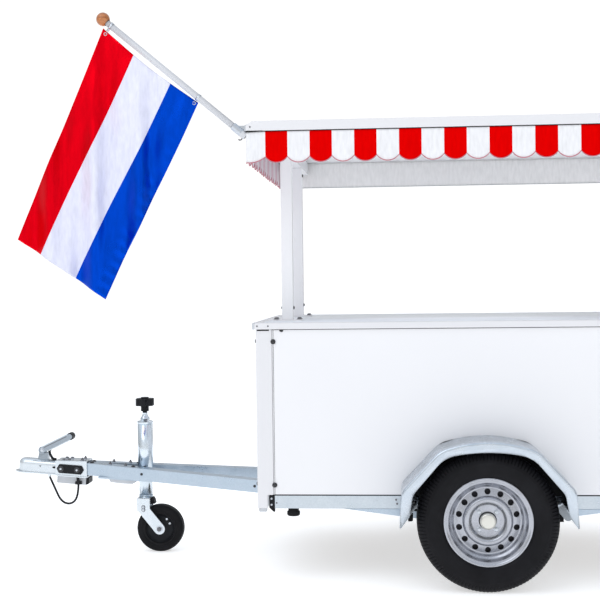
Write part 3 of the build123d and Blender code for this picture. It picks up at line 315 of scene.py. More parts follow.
@dataclass(frozen=True)
class Paint:
    """Satin paint or gelcoat on a smooth panel."""

    name: str
    colour: Colour
    rough: float = 0.32
    coat: float = 0.25
    peel: float = 0.00002
    shade: float = 0.97

    CLOUD_SCALE = 2.3
    HANDLED_SCALE = 4.0
    HANDLED_ROUGH = 0.08
    PEEL_SCALE = 260.0
    PEEL_STRENGTH = 0.5
    COAT_ROUGH = 0.12

    def material(self) -> bpy.types.Material:
        """Builds the paint: faint cloudiness, fine orange peel and slightly duller handled spots.

        Returns:
            The new material.
        """
        graph = Graph(self.name)
        clouds = graph.noise(self.CLOUD_SCALE, detail=1.0)
        colour = graph.mix(clouds, self.colour, toned(self.colour, self.shade))
        rough = self.rough + graph.swing(graph.noise(self.HANDLED_SCALE, detail=1.0), self.HANDLED_ROUGH)
        peel = graph.bump(graph.noise(self.PEEL_SCALE, detail=0.0), self.peel, self.PEEL_STRENGTH)
        return graph.shade(
            base_color=colour, roughness=rough, coat_weight=self.coat, coat_roughness=self.COAT_ROUGH,
            normal=peel)


@dataclass(frozen=True)
class Galvanised:
    """Hot-dip galvanised steel with its crystal pattern and run marks."""

    name: str
    colour: Colour = (0.40, 0.48, 0.56)
    bright: Colour = (0.52, 0.60, 0.68)
    crystal: float = 240.0
    rough: float = 0.34
    spangle: float = 0.45
    metal: float = 0.85

    CLOUD_SCALE = 14.0
    CLOUD_ROUGH = 0.35
    BRIGHT_BAND = (0.2, 0.8)
    CRYSTAL_ROUGH = 0.22
    CRYSTAL_RISE = 0.7
    STREAK_SCALE = 26.0
    STREAK_STRETCH = (1.0, 1.0, 0.2)
    DEPTH = 0.00025
    STRENGTH = 0.35

    def material(self) -> bpy.types.Material:
        """Builds the zinc layer: crystals of differing brightness, cloudy dulling and soft streaks.

        Returns:
            The new material.
        """
        graph = Graph(self.name)
        plain = 1 - self.spangle
        crystals = graph.cells(self.crystal)
        clouds = graph.noise(self.CLOUD_SCALE, detail=5.0)
        share = graph.band(crystals * self.spangle + clouds * plain, *self.BRIGHT_BAND)
        colour = graph.mix(share, self.colour, self.bright)
        dulling = graph.swing(clouds, self.CLOUD_ROUGH)
        rough = self.rough + dulling + graph.swing(crystals, self.CRYSTAL_ROUGH * self.spangle)
        streaks = graph.noise(self.STREAK_SCALE, detail=3.0, stretch=self.STREAK_STRETCH)
        height = streaks * plain + crystals * (self.spangle * self.CRYSTAL_RISE)
        normal = graph.bump(height, self.DEPTH, self.STRENGTH)
        return graph.shade(base_color=colour, metallic=self.metal, roughness=rough, normal=normal)


@dataclass(frozen=True)
class Plated:
    """Bright zinc plate or turned steel."""

    name: str
    colour: Colour = (0.62, 0.65, 0.69)
    rough: float = 0.24

    DULL_SCALE = 30.0
    DULL_SHARE = 0.3
    DULL_ROUGH = 0.25
    EDGE_SHARE = 0.6
    BRIGHTER = 1.3
    METAL = 0.95
    LINE_SCALE = 60.0
    LINE_STRETCH = (1.0, 1.0, 14.0)
    LINE_DEPTH = 0.00015
    LINE_STRENGTH = 0.25

    def material(self) -> bpy.types.Material:
        """Builds the plate: drawn lines, rubbed bright edges and a little dulling.

        Returns:
            The new material.
        """
        graph = Graph(self.name)
        dulling = graph.noise(self.DULL_SCALE, detail=5.0)
        lines = graph.noise(self.LINE_SCALE, detail=2.0, stretch=self.LINE_STRETCH)
        share = graph.worn_edges() * self.EDGE_SHARE + dulling * self.DULL_SHARE
        colour = graph.mix(share, self.colour, toned(self.colour, self.BRIGHTER))
        rough = self.rough + graph.swing(dulling, self.DULL_ROUGH)
        normal = graph.bump(lines, self.LINE_DEPTH, self.LINE_STRENGTH)
        return graph.shade(base_color=colour, metallic=self.METAL, roughness=rough, normal=normal)


@dataclass(frozen=True)
class Enamel:
    """Sprayed silver enamel on a pressed steel rim."""

    name: str
    colour: Colour = (0.46, 0.475, 0.52)
    rough: float = 0.25

    FLAKE_SCALE = 1600.0
    FLAKE_SHARE = 0.35
    FLAKE_DEPTH = 0.0001
    FLAKE_STRENGTH = 0.2
    DUST_SCALE = 18.0
    DUST_STOPS = ((0.45, 0.0), (0.8, 0.5))
    DUST_ROUGH = 0.2
    DARKER = 0.72
    METAL = 0.85
    COAT = 0.3
    COAT_ROUGH = 0.2

    def material(self) -> bpy.types.Material:
        """Builds the enamel: fine flakes, dust in the low places and a thin clear coat.

        Returns:
            The new material.
        """
        graph = Graph(self.name)
        flakes = graph.cells(self.FLAKE_SCALE)
        dust = graph.noise(self.DUST_SCALE, detail=5.0)
        share = flakes * self.FLAKE_SHARE + graph.ramp(dust, *self.DUST_STOPS)
        colour = graph.mix(share, self.colour, toned(self.colour, self.DARKER))
        rough = self.rough + graph.swing(dust, self.DUST_ROUGH)
        return graph.shade(
            base_color=colour, metallic=self.METAL, roughness=rough, coat_weight=self.COAT,
            coat_roughness=self.COAT_ROUGH, normal=graph.bump(flakes, self.FLAKE_DEPTH, self.FLAKE_STRENGTH))


@dataclass(frozen=True)
class Rubber:
    """Black rubber or moulded plastic with a fine grain."""

    name: str
    colour: Colour = (0.006, 0.006, 0.007)
    bloom: Colour = (0.018, 0.018, 0.020)
    rough: float = 0.55
    grain: float = 900.0
    gloss: float = 0.14

    BLOOM_SCALE = 16.0
    BLOOM_BAND = (0.35, 0.8)
    BLOOM_SHARE = 0.6
    EDGE_SHARE = 0.4
    WORN_SCALE = 45.0
    WORN_ROUGH = 0.3
    GRAIN_DEPTH = 0.0003
    GRAIN_STRENGTH = 0.35

    def material(self) -> bpy.types.Material:
        """Builds the rubber: greyish bloom, scuffed edges and a grained surface.

        Returns:
            The new material.
        """
        graph = Graph(self.name)
        bloom = graph.band(graph.noise(self.BLOOM_SCALE, detail=6.0), *self.BLOOM_BAND)
        share = bloom * self.BLOOM_SHARE + graph.worn_edges() * self.EDGE_SHARE
        rough = self.rough + graph.swing(graph.noise(self.WORN_SCALE, detail=4.0), self.WORN_ROUGH)
        grain = graph.noise(self.grain, detail=2.0)
        return graph.shade(
            base_color=graph.mix(share, self.colour, self.bloom), roughness=rough,
            specular_ior_level=self.gloss, normal=graph.bump(grain, self.GRAIN_DEPTH, self.GRAIN_STRENGTH))


@dataclass(frozen=True)
class Cloth:
    """Woven and coated cloth of one colour."""

    name: str
    colour: Colour
    thread: float = 0.0011
    rough: float = 0.62
    gloss: float = 0.06
    satin: float = 0.0

    SLUB_SCALE = 85.0
    SLUB_STRETCH = (1.0, 1.0, 0.25)
    SLUB_BAND = (0.3, 0.8)
    DARKER = 0.86
    WORN_SCALE = 12.0
    WORN_ROUGH = 0.2
    DEPTH = 0.0002
    STRENGTH = 0.4

    def material(self) -> bpy.types.Material:
        """Builds the weave: crossing threads and slubs, under a low gloss or a coloured sheen.

        Returns:
            The new material.
        """
        graph = Graph(self.name)
        turns = math.tau / self.thread
        warp = graph.math("SINE", (graph.axis("X") + graph.axis("Y")) * turns)
        weft = graph.math("SINE", graph.axis("Z") * turns)
        slubs = graph.noise(self.SLUB_SCALE, detail=4.0, stretch=self.SLUB_STRETCH)
        share = graph.band(slubs, *self.SLUB_BAND)
        colour = graph.mix(share, self.colour, toned(self.colour, self.DARKER))
        rough = self.rough + graph.swing(graph.noise(self.WORN_SCALE, detail=3.0), self.WORN_ROUGH)
        normal = graph.bump(warp * weft * 0.5 + slubs * 0.5, self.DEPTH, self.STRENGTH)
        return graph.shade(
            base_color=colour, roughness=rough, metallic=self.satin, specular_ior_level=self.gloss,
            normal=normal)


@dataclass(frozen=True)
class Timber:
    """Varnished turned wood or coated plywood."""

    name: str
    colour: Colour
    dark: Colour
    varnish: float = 0.5
    ring: float = 130.0
    rough: float = 0.45

    GRAIN_STRETCH = (0.12, 1.0, 1.0)
    GRAIN_SHARE = 0.7
    PORE_STRETCH = (0.1, 1.0, 1.0)
    PORE_SHARE = 0.3
    PORES_IN_RING = 5
    PORE_ROUGH = 0.3
    DARK_BAND = (0.35, 0.65)
    DEPTH = 0.0002
    STRENGTH = 0.4

    def material(self) -> bpy.types.Material:
        """Builds the grain: long streaks broken by noise, under a coat of varnish.

        Returns:
            The new material.
        """
        graph = Graph(self.name)
        grain = graph.noise(self.ring, detail=5.0, stretch=self.GRAIN_STRETCH)
        pores = graph.noise(self.ring * self.PORES_IN_RING, detail=3.0, stretch=self.PORE_STRETCH)
        share = graph.band(grain * self.GRAIN_SHARE + pores * self.PORE_SHARE, *self.DARK_BAND)
        return graph.shade(
            base_color=graph.mix(share, self.colour, self.dark), coat_weight=self.varnish,
            roughness=self.rough + graph.swing(pores, self.PORE_ROUGH),
            normal=graph.bump(pores, self.DEPTH, self.STRENGTH))


@dataclass(frozen=True)
class Lens:
    """Moulded lamp lens with rows of small prisms."""

    name: str
    colour: Colour
    pitch: float = 0.006
    rough: float = 0.12

    DARKER = 0.45
    PRISM_BAND = (0.2, 0.9)
    WORN_SCALE = 30.0
    WORN_ROUGH = 0.1
    COAT = 0.8
    DEPTH = 0.0006
    STRENGTH = 0.5

    def material(self) -> bpy.types.Material:
        """Builds the lens: a prism pattern under clear plastic.

        Returns:
            The new material.
        """
        graph = Graph(self.name)
        turns = math.tau / self.pitch
        rows, ranks = (graph.math("SINE", graph.axis(name) * turns) for name in ("Y", "Z"))
        prisms = rows * ranks
        share = graph.band(prisms * 0.5 + 0.5, *self.PRISM_BAND)
        return graph.shade(
            base_color=graph.mix(share, toned(self.colour, self.DARKER), self.colour), coat_weight=self.COAT,
            roughness=self.rough + graph.noise(self.WORN_SCALE) * self.WORN_ROUGH,
            normal=graph.bump(prisms, self.DEPTH, self.STRENGTH))


Finish = Paint | Galvanised | Plated | Enamel | Rubber | Cloth | Timber | Lens
PANEL = Paint("white_panel", (0.85, 0.848, 0.866), rough=0.34, coat=0.35, shade=0.975)
POWDER = Paint("white_powder_coat", (0.77, 0.768, 0.787), rough=0.36, coat=0.15, peel=0.00003)
# A brighter copy of the frame's white paint for the masts and their feet, so that they look fully lit under
# the roof: painted light.
LIT_MAST_PAINT = Paint("white_mast_paint_lit", (0.885, 0.885, 0.90), rough=0.34, coat=0.2, peel=0.00003, shade=0.97)
POLE_PAINT = Paint("white_pole_paint", (0.62, 0.63, 0.66), rough=0.34, coat=0.3)
COUNTER_SHEET = Paint("counter_sheet", (0.92, 0.955, 1.0), rough=0.34, coat=0.2, shade=0.97)
ZINC = Galvanised("galvanised_steel", spangle=0.25)
RAIL_ZINC = Galvanised("rail_zinc", (0.48, 0.535, 0.58), (0.62, 0.67, 0.71), crystal=200.0, spangle=0.2)
WING_ZINC = Galvanised(
    "galvanised_wing", (0.50, 0.56, 0.625), (0.62, 0.67, 0.72),
    crystal=150.0, rough=0.24, spangle=0.12, metal=0.80)
TUBE_ZINC = Galvanised(
    "bright_tube_zinc", (0.62, 0.69, 0.75), (0.74, 0.81, 0.87),
    crystal=300.0, rough=0.20, spangle=0.12, metal=0.95)
STEEL = Plated("zinc_plated_steel", (0.52, 0.55, 0.59), rough=0.28)
COUPLING_ZINC = Galvanised(
    "coupling_zinc", (0.60, 0.65, 0.69), (0.74, 0.79, 0.83), crystal=260.0, rough=0.28, spangle=0.15)
LEVER_STEEL = Plated("lever_steel", (0.30, 0.34, 0.38), rough=0.30)
CAP_PLATE = Plated("yellow_zinc_cap", (0.66, 0.65, 0.60), rough=0.36)
DARK_STEEL = Plated("dark_steel", (0.16, 0.16, 0.17), rough=0.42)
# Near-black drum behind the rim: partly the drum's own dark iron, partly painted shade for the shadow seen
# through the vents.
DRUM_IRON_AND_SHADE = Plated("drum_iron_painted_shade", (0.035, 0.035, 0.040), rough=0.6)
SILVER = Enamel("silver_enamel")
TYRE_RUBBER = Rubber("tyre_rubber", (0.006, 0.006, 0.0075), (0.014, 0.014, 0.017), rough=0.44, gloss=0.12)
# Black seal of the plates inside the wings: painted shade, standing in for the deep shade behind the tyres.
SHADE_SEAL_BLACK = Rubber("black_seal_painted_shade", (0.010, 0.010, 0.011), (0.030, 0.030, 0.032), rough=0.7, grain=260.0)
SOFT_RUBBER = Rubber("solid_rubber", (0.005, 0.005, 0.006), (0.014, 0.014, 0.016), rough=0.6)
BLACK_OXIDE = Rubber("black_bolt_head", (0.006, 0.006, 0.008), (0.03, 0.03, 0.035), rough=0.22, gloss=0.6)
BLACK_PLASTIC = Rubber(
    "black_plastic", (0.008, 0.009, 0.011), (0.020, 0.021, 0.024), rough=0.42, grain=1400.0)
GREY_PLASTIC = Rubber("grey_plastic", (0.52, 0.54, 0.57), (0.63, 0.65, 0.68), rough=0.48, grain=1200.0)
RED_CLOTH = Cloth("red_awning_cloth", (0.75, 0.0006, 0.0008), gloss=0.0)
WHITE_CLOTH = Cloth("white_awning_cloth", (0.87, 0.87, 0.89))
WHITE_LINING = Cloth("white_awning_lining", (0.80, 0.73, 0.76))
RED_LINING = Cloth("red_awning_lining", (0.74, 0.54, 0.60))
PIPING_CLOTH = Cloth("red_piping", (0.55, 0.20, 0.24))
BAND_CLOTH = Cloth("plain_band_cloth", (0.92, 0.91, 0.90))
BAND_HEM = Cloth("grey_band_hem", (0.50, 0.52, 0.54))
FLAG_RED = Cloth("flag_red", (0.82, 0.0008, 0.009), thread=0.0007, rough=0.34, gloss=0.0, satin=0.75)
FLAG_WHITE = Cloth("flag_white", (0.80, 0.81, 0.95), thread=0.0007, rough=0.45, gloss=0.0, satin=0.2)
FLAG_BLUE = Cloth("flag_blue", (0.0008, 0.065, 0.62), thread=0.0007, rough=0.30, gloss=0.0, satin=0.85)
BALL_WOOD = Timber("varnished_wood", (0.55, 0.20, 0.055), (0.27, 0.075, 0.018))
PLYWOOD = Timber("coated_plywood", (0.11, 0.075, 0.05), (0.06, 0.04, 0.03), varnish=0.2)
RED_LENS = Lens("red_lens", (0.55, 0.01, 0.012))


@dataclass
class Palette:
    """Makes each finish's material once and hands it out."""

    made: dict[str, bpy.types.Material] = field(default_factory=dict)

    def get(self, finish: Finish) -> bpy.types.Material:
        """The material of a finish, built at its first use.

        Args:
            finish: Finish to look up.

        Returns:
            Its material.
        """
        if finish.name not in self.made:
            self.made[finish.name] = finish.material()
        return self.made[finish.name]


PALETTE = Palette()


@dataclass(frozen=True)
class Coat:
    """How a rigid node is dressed: its finish and the width of its rounded edges."""

    finish: Finish
    edge: float = 0.0


class Shape:
    """A mesh under construction in the part's frame."""

    def __init__(self) -> None:
        """Starts with no faces."""
        self.bm = bmesh.new()

    def skirt(
        self, low: Sequence[bmesh.types.BMVert], high: Sequence[bmesh.types.BMVert], slot: int = 0,
    ) -> None:
        """Joins two closed rings of corners with faces.

        Args:
            low: Corners of the first ring.
            high: As many corners of the second ring.
            slot: Material slot of the new faces.
        """
        for here in range(len(low)):
            after = (here + 1) % len(low)
            face = self.bm.faces.new((low[here], low[after], high[after], high[here]))
            face.material_index = slot

    def lathe(
        self, profile: Sequence[Pair], frame: Matrix, steps: int = 48, slot: int = 0, closed: bool = False,
    ) -> None:
        """Turns a profile round the Z axis of a frame.

        Args:
            profile: (radius, height) pairs; a radius of 0 closes the end.
            frame: Where the axis stands.
            steps: Faces round the axis.
            slot: Material slot of the new faces.
            closed: Whether the last pair joins the first, as in a ring.
        """
        rings: list[list[bmesh.types.BMVert]] = []
        for radius, height in profile:
            count = steps if radius > 0 else 1
            turns = [math.tau * step / steps for step in range(count)]
            rings.append([
                self.bm.verts.new(frame @ Vector((radius * math.cos(turn), radius * math.sin(turn), height)))
                for turn in turns])
        for low, high in zip(rings, [*rings[1:], *(rings[:1] if closed else [])]):
            for step in range(steps):
                after = (step + 1) % steps
                corners = [ring[index % len(ring)] for ring, index in (
                    (low, step), (low, after), (high, after), (high, step))]
                unique = list(dict.fromkeys(corners))
                if len(unique) > 2:
                    self.bm.faces.new(unique).material_index = slot

    def prism(self, outline: Sequence[Pair], frame: Matrix, height: float, slot: int = 0) -> None:
        """Raises a closed outline along the Z axis of a frame.

        Args:
            outline: (x, y) points on the frame's XY plane.
            frame: Where the outline lies.
            height: How far it is raised.
            slot: Material slot of the new faces.
        """
        low, high = (
            [self.bm.verts.new(frame @ Vector((x, y, level))) for x, y in outline] for level in (0.0, height))
        for ends in (low[::-1], high):
            self.bm.faces.new(ends).material_index = slot
        self.skirt(low, high, slot)

    def plate(self, outline: Sequence[Pair], face: float, thick: float, slot: int = 0) -> None:
        """Raises a closed outline of (x, z) points from a face across Y, by a thickness along Y."""
        frame = Matrix(((1, 0, 0, 0), (0, 0, 1, face), (0, 1, 0, 0), (0, 0, 0, 1)))
        self.prism(outline, frame, thick, slot)

    def sheet(
        self, place: Callable[[int, int], Point], columns: int, rows: int,
        slot: Callable[[int, int], int] = lambda column, row: 0, closed: bool = False,
    ) -> None:
        """Lays a grid of faces.

        Args:
            place: Point for a column and a row.
            columns: Faces across.
            rows: Faces down.
            slot: Material slot for a face's column and row.
            closed: Whether the last column joins the first.
        """
        across = columns if closed else columns + 1
        grid = [
            [self.bm.verts.new(place(column, row)) for column in range(across)] for row in range(rows + 1)]
        for row in range(rows):
            for column in range(columns):
                after = (column + 1) % across
                face = self.bm.faces.new((
                    grid[row][column], grid[row + 1][column], grid[row + 1][after], grid[row][after]))
                face.material_index = slot(column, row)

    def tube(self, path: Sequence[Point], radius: float, sides: int = 8, slot: int = 0) -> None:
        """Runs a round tube with closed ends along a path.

        Args:
            path: Points of its centre line.
            radius: Radius of the tube.
            sides: Faces round it.
            slot: Material slot of the new faces.
        """
        points = [Vector(point) for point in path]
        side = (points[1] - points[0]).orthogonal()
        turns = [math.tau * step / sides for step in range(sides)]
        rings = []
        for index, point in enumerate(points):
            along = (points[min(index + 1, len(points) - 1)] - points[max(index - 1, 0)]).normalized()
            side = (side - along * side.dot(along)).normalized()
            other = along.cross(side)
            rings.append([
                self.bm.verts.new(point + (side * math.cos(turn) + other * math.sin(turn)) * radius)
                for turn in turns])
        for ends in (rings[0][::-1], rings[-1]):
            self.bm.faces.new(ends).material_index = slot
        for low, high in zip(rings, rings[1:]):
            self.skirt(low, high, slot)

    def piece(
        self, name: str, body: Body, *finishes: Finish,
        edge: float = 0.0, thick: float = 0.0, lining: int = 0,
    ) -> bpy.types.Object:
        """Closes the mesh and rides it on a body.

        Args:
            name: Name of the piece.
            body: Body that carries it.
            finishes: Finish of each material slot.
            edge: Width of rounded edges.
            thick: Thickness given to a sheet, half to each side; a sheet keeps its own outward side.
            lining: How many slots on the finish of a sheet's inner side stands.

        Returns:
            The new object.
        """
        if not thick:
            bmesh.ops.recalc_face_normals(self.bm, faces=self.bm.faces)
        mesh = bpy.data.meshes.new(name)
        self.bm.to_mesh(mesh)
        self.bm.free()
        made = bpy.data.objects.new(name, mesh)
        bpy.context.scene.collection.objects.link(made)
        for finish in finishes:
            mesh.materials.append(PALETTE.get(finish))
        if thick:
            shell = made.modifiers.new("thickness", "SOLIDIFY")
            shell.thickness = thick
            shell.offset = 0.0
            shell.material_offset = lining
        soften(made, edge)
        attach(made, body.value)
        log.info("%s rides on %s", name, body.value)
        return made


def soften(made: bpy.types.Object, edge: float) -> None:
    """Shades a mesh smooth between sharp edges, and rounds those edges where a width is given.

    Args:
        made: Object with the mesh.
        edge: Width of rounded edges, or 0.
    """
    mesh = made.data
    mesh.polygons.foreach_set("use_smooth", [True] * len(mesh.polygons))
    mesh.set_sharp_from_angle(angle=SHARP_ANGLE)
    if edge:
        bevel = made.modifiers.new("edges", "BEVEL")
        bevel.width = edge
        bevel.segments = 2
        bevel.limit_method = "ANGLE"
        bevel.angle_limit = SHARP_ANGLE
        bevel.harden_normals = True


def facing(origin: Point, normal: Point, turn: float = 0.0) -> Matrix:
    """A frame at a point with its Z axis along a normal, turned about it."""
    aimed = Vector(normal).to_track_quat("Z", "Y").to_matrix().to_4x4()
    return Matrix.Translation(origin) @ aimed @ Matrix.Rotation(turn, 4, "Z")


def dress(nodes: dict[str, bpy.types.Object], name: str, coat: Coat) -> None:
    """Gives a rigid node its finish and its rounded edges, and leaves its own mesh as it is.

    Args:
        nodes: Nodes of the frame by name.
        name: Name of the node.
        coat: How it is dressed.
    """
    made = nodes[name]
    made.data.materials.clear()
    made.data.materials.append(PALETTE.get(coat.finish))
    with bpy.context.temp_override(object=made, active_object=made, selected_objects=[made]):
        bpy.ops.mesh.customdata_custom_splitnormals_clear()
    made.modifiers.new("weld", "WELD").merge_threshold = WELD_GAP
    flat = made.modifiers.new("flat_faces", "DECIMATE")
    flat.decimate_type = "DISSOLVE"
    flat.angle_limit = FLAT_ANGLE
    soften(made, coat.edge)
    log.info("%s dressed in %s", name, coat.finish.name)


@dataclass(frozen=True)
class LightPanel:
    """A square soft light that faces a point."""

    name: str
    place: Point
    target: Point
    size: float
    watts: float

    def build(self) -> None:
        """Hangs the panel."""
        data = bpy.data.lights.new(self.name, "AREA")
        data.size = self.size
        data.energy = self.watts
        made = bpy.data.objects.new(self.name, data)
        aim = Vector(self.target) - Vector(self.place)
        made.location = self.place
        made.rotation_euler = aim.to_track_quat("-Z", "Y").to_euler()
        bpy.context.scene.collection.objects.link(made)


@dataclass
class Studio:
    """Floor, light and camera."""

    eye: Point = (0.21904, -5.75605, 1.29262)
    turn: float = 0.0796
    dip: float = 0.0165
    roll: float = -0.0121
    focal_pixels: float = 1216.14
    image_pixels: float = 600.0
    sensor: float = 36.0
    far: float = 200.0
    floor_size: float = 60.0
    floor_tones: tuple[Colour, Colour] = ((0.80, 0.80, 0.80), (0.84, 0.84, 0.84))
    floor_tone_scale: float = 0.8
    floor_rough: Pair = (0.7, 0.15)
    floor_rough_scale: float = 6.0
    floor_gloss: float = 0.1
    floor_glow: float = 0.55
    backdrop: Colour = (1.1, 1.1, 1.1)
    zenith: Colour = (0.93, 1.0, 1.10)
    zenith_band: Pair = (0.1, 0.8)
    room_level: float = 1.07
    depth_levels: tuple[Pair, ...] = ((0.0, 0.80), (0.40, 0.88), (0.60, 0.92), (0.80, 0.62), (1.0, 0.48))
    side_levels: tuple[Pair, ...] = ((0.02, 0.60), (0.20, 1.0), (0.70, 1.0), (0.90, 0.42))

    PANELS = (
        LightPanel("key_panel", (-2.6, -3.4, 5.2), (0.3, 0.0, 0.8), 4.0, 56.0),
        LightPanel("fill_panel", (4.5, -4.0, 2.6), (0.2, 0.0, 1.3), 3.5, 22.0),
        LightPanel("back_panel", (0.5, 4.6, 4.4), (0.3, 0.0, 1.0), 4.0, 30.0),
    )

    def build(self) -> None:
        """Makes the stage."""
        self.camera()
        self.floor()
        self.light()

    def camera(self) -> None:
        """Stands the camera at the photograph's viewpoint, turned left, dipped and rolled a little."""
        ahead = Vector((-math.sin(self.turn), math.cos(self.turn), 0.0))
        sideways = Vector((math.cos(self.turn), math.sin(self.turn), 0.0))
        up = Vector(UPWARD)
        look = ahead * math.cos(self.dip) - up * math.sin(self.dip)
        rise = up * math.cos(self.dip) + ahead * math.sin(self.dip)
        right = sideways * math.cos(self.roll) + rise * math.sin(self.roll)
        top = rise * math.cos(self.roll) - sideways * math.sin(self.roll)
        data = bpy.data.cameras.new("camera")
        data.sensor_width = self.sensor
        data.lens = self.focal_pixels * self.sensor / self.image_pixels
        data.clip_end = self.far
        made = bpy.data.objects.new("camera", data)
        made.matrix_world = Matrix.Translation(self.eye) @ Matrix((right, top, -look)).transposed().to_4x4()
        bpy.context.scene.collection.objects.link(made)
        bpy.context.scene.camera = made

    def floor(self) -> None:
        """Lays a wide pale floor that glows a little, as a light table does."""
        graph = Graph("pale_floor")
        tone = graph.mix(graph.noise(self.floor_tone_scale, detail=4.0), *self.floor_tones)
        smooth, varied = self.floor_rough
        material = graph.shade(
            base_color=tone, roughness=smooth + graph.noise(self.floor_rough_scale) * varied,
            specular_ior_level=self.floor_gloss, emission_color=WHITE, emission_strength=self.floor_glow)
        shape = bmesh.new()
        bmesh.ops.create_grid(shape, x_segments=1, y_segments=1, size=self.floor_size)
        mesh = bpy.data.meshes.new("floor")
        shape.to_mesh(mesh)
        shape.free()
        mesh.materials.append(material)
        floor = bpy.data.objects.new("floor", mesh)
        bpy.context.scene.collection.objects.link(floor)

    def light(self) -> None:
        """Lights the room with soft panels and pale walls, darker at the ends, and a white backdrop."""
        world = bpy.data.worlds.new("studio")
        world.use_nodes = True
        room = Graph.of_world(world)
        aim = room.node("ShaderNodeTexCoord", {}, {}, "Generated")
        across, depth, height = (room.split(aim, name) for name in ("X", "Y", "Z"))
        brightest = max(shade for _, shade in self.depth_levels)
        stops = [(place, shade / brightest) for place, shade in self.depth_levels]
        walls = room.ramp(depth * 0.5 + 0.5, *stops) * room.ramp(across * 0.5 + 0.5, *self.side_levels)
        tint = room.mix(room.band(height, *self.zenith_band), WHITE, self.zenith)
        lit = room.mix(1.0, walls, tint, "MULTIPLY")
        seen = room.node("ShaderNodeLightPath", {}, {}, "Is Camera Ray")
        room.shade(color=room.mix(seen, lit, self.backdrop), strength=brightest * self.room_level)
        scene = bpy.context.scene
        scene.world = world
        scene.view_settings.view_transform = "Standard"
        for panel in self.PANELS:
            panel.build()


@dataclass
class SafetyCable:
    """The black cable loop under the coupling."""

    radius: float = 0.005
    length: float = 0.311
    route: tuple[Point, ...] = (
        (-1.4540, -0.0410, 0.3639), (-1.4390, -0.0415, 0.3310), (-1.4215, -0.0420, 0.2920),
        (-1.4040, -0.0425, 0.2550), (-1.3810, -0.0430, 0.2357), (-1.3550, -0.0430, 0.2320),
        (-1.3325, -0.0430, 0.2435), (-1.3200, -0.0430, 0.2675), (-1.3145, -0.0430, 0.2985),
        (-1.3126, -0.0430, 0.3300), (-1.3120, -0.0430, 0.3525),
    )

    def build(self) -> None:
        """Hangs the cable on one smooth spline."""
        curve = bpy.data.curves.new("safety_cable_loop", "CURVE")
        curve.dimensions = "3D"
        curve.bevel_depth = self.radius
        curve.bevel_resolution = 5
        spline = curve.splines.new("NURBS")
        spline.points.add(len(self.route) - 1)
        for point, place in zip(spline.points, self.route):
            point.co = (*place, 1.0)
        spline.order_u = 3
        spline.use_endpoint_u = True
        spline.resolution_u = 10
        curve.materials.append(PALETTE.get(BLACK_PLASTIC))
        made = bpy.data.objects.new("safety_cable_loop", curve)
        bpy.context.scene.collection.objects.link(made)
        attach(made, Body.CHASSIS.value)
        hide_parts("safety_cable")


@dataclass
class Valance:
    """One hanging cloth of the canopy: striped with round tongues, or plain with a straight hem."""

    node: str
    run: Axis
    outward: int
    first: float = 0.080
    striped: bool = True
    tongue: float = 0.0924
    cusp: float = 1.806
    tip: float = 1.782
    turned: float = 0.40
    steps: int = 12
    rows: int = 10
    billow: float = 0.0035
    bulge: Pair = (0.6, 0.4)
    bulge_turn: float = 2.1
    wave: Pair = (0.5, 6.7)
    wave_start: float = 0.8
    hang: float = 1.5
    cloth: float = 0.0011
    cord: float = 0.0020

    def __post_init__(self) -> None:
        """Reads the cloth's place from its node, and divides its length into tongues."""
        self.low, self.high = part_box(self.node)
        length = self.high[self.run] - self.low[self.run]
        count = round((length - self.first) / self.tongue)
        self.stops = [0.0, *(self.first + index * self.tongue for index in range(count)), length]
        self.columns = self.steps * (len(self.stops) - 1)

    def station(self, column: int) -> tuple[int, float]:
        """The tongue that a column belongs to, and the share of that tongue's width before it."""
        index = min(column // self.steps, len(self.stops) - 2)
        return index, column / self.steps - index

    def hem(self, column: int) -> float:
        """Height of the lower edge at a column.

        Args:
            column: Column of the cloth.

        Returns:
            An arc from cusp to cusp, part of one where a tongue turns the corner, or the straight hem.
        """
        if not self.striped:
            return self.tip
        index, share = self.station(column)
        width = self.stops[index + 1] - self.stops[index]
        if index in (0, len(self.stops) - 2):
            width /= 1 - self.turned
            share = (share if index else 1 - share) * (1 - self.turned)
        half = width / 2
        depth = self.cusp - self.tip
        radius = (half * half + depth * depth) / (2 * depth)
        return self.tip + radius - math.sqrt(radius * radius - (half * (2 * share - 1)) ** 2)

    def place(self, column: int, row: int) -> Point:
        """Point of the cloth, with the soft billow of each tongue.

        Args:
            column: Column of the cloth.
            row: Row of the cloth, from its top.

        Returns:
            The point.
        """
        index, share = self.station(column)
        along = self.low[self.run] + self.stops[index] + share * (self.stops[index + 1] - self.stops[index])
        drop = row / self.rows
        least, varied = self.bulge
        size, rate = self.wave
        swell = math.sin(math.pi * share) * (least + varied * math.sin(self.bulge_turn * index))
        swell += size * math.sin(rate * along + self.wave_start)
        across = 1 - self.run
        middle = (self.low[across] + self.high[across]) / 2
        point = [0.0, 0.0, self.high[2] + (self.hem(column) - self.high[2]) * drop]
        point[self.run] = along
        point[across] = middle + self.outward * self.billow * swell * drop ** self.hang
        return tuple(point)

    def build(self) -> None:
        """Hangs the cloth, with its outer side outward, and sews the cord along its hem."""
        shape = Shape()
        finishes = (WHITE_CLOTH, RED_CLOTH) if self.striped else (BAND_CLOTH,)
        linings = (WHITE_LINING, RED_LINING) if self.striped else (BAND_CLOTH,)
        shape.sheet(
            self.place, self.columns, self.rows, lambda column, row: self.station(column)[0] % len(finishes))
        if self.outward == (-1) ** self.run:
            bmesh.ops.reverse_faces(shape.bm, faces=shape.bm.faces[:])
        cloth = shape.piece(
            f"{self.node}_cloth", Body.CHASSIS, *finishes, *linings, thick=self.cloth, lining=len(finishes))
        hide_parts(self.node)
        shape = Shape()
        shape.tube([self.place(column, self.rows) for column in range(self.columns + 1)], self.cord)
        cord = shape.piece(f"{self.node}_piping", Body.CHASSIS, PIPING_CLOTH if self.striped else BAND_HEM)
        length = self.high[self.run] - self.low[self.run]
        drops = [self.high[2] - self.hem(column) for column in range(self.columns)]
        area = length * sum(drops) / len(drops)


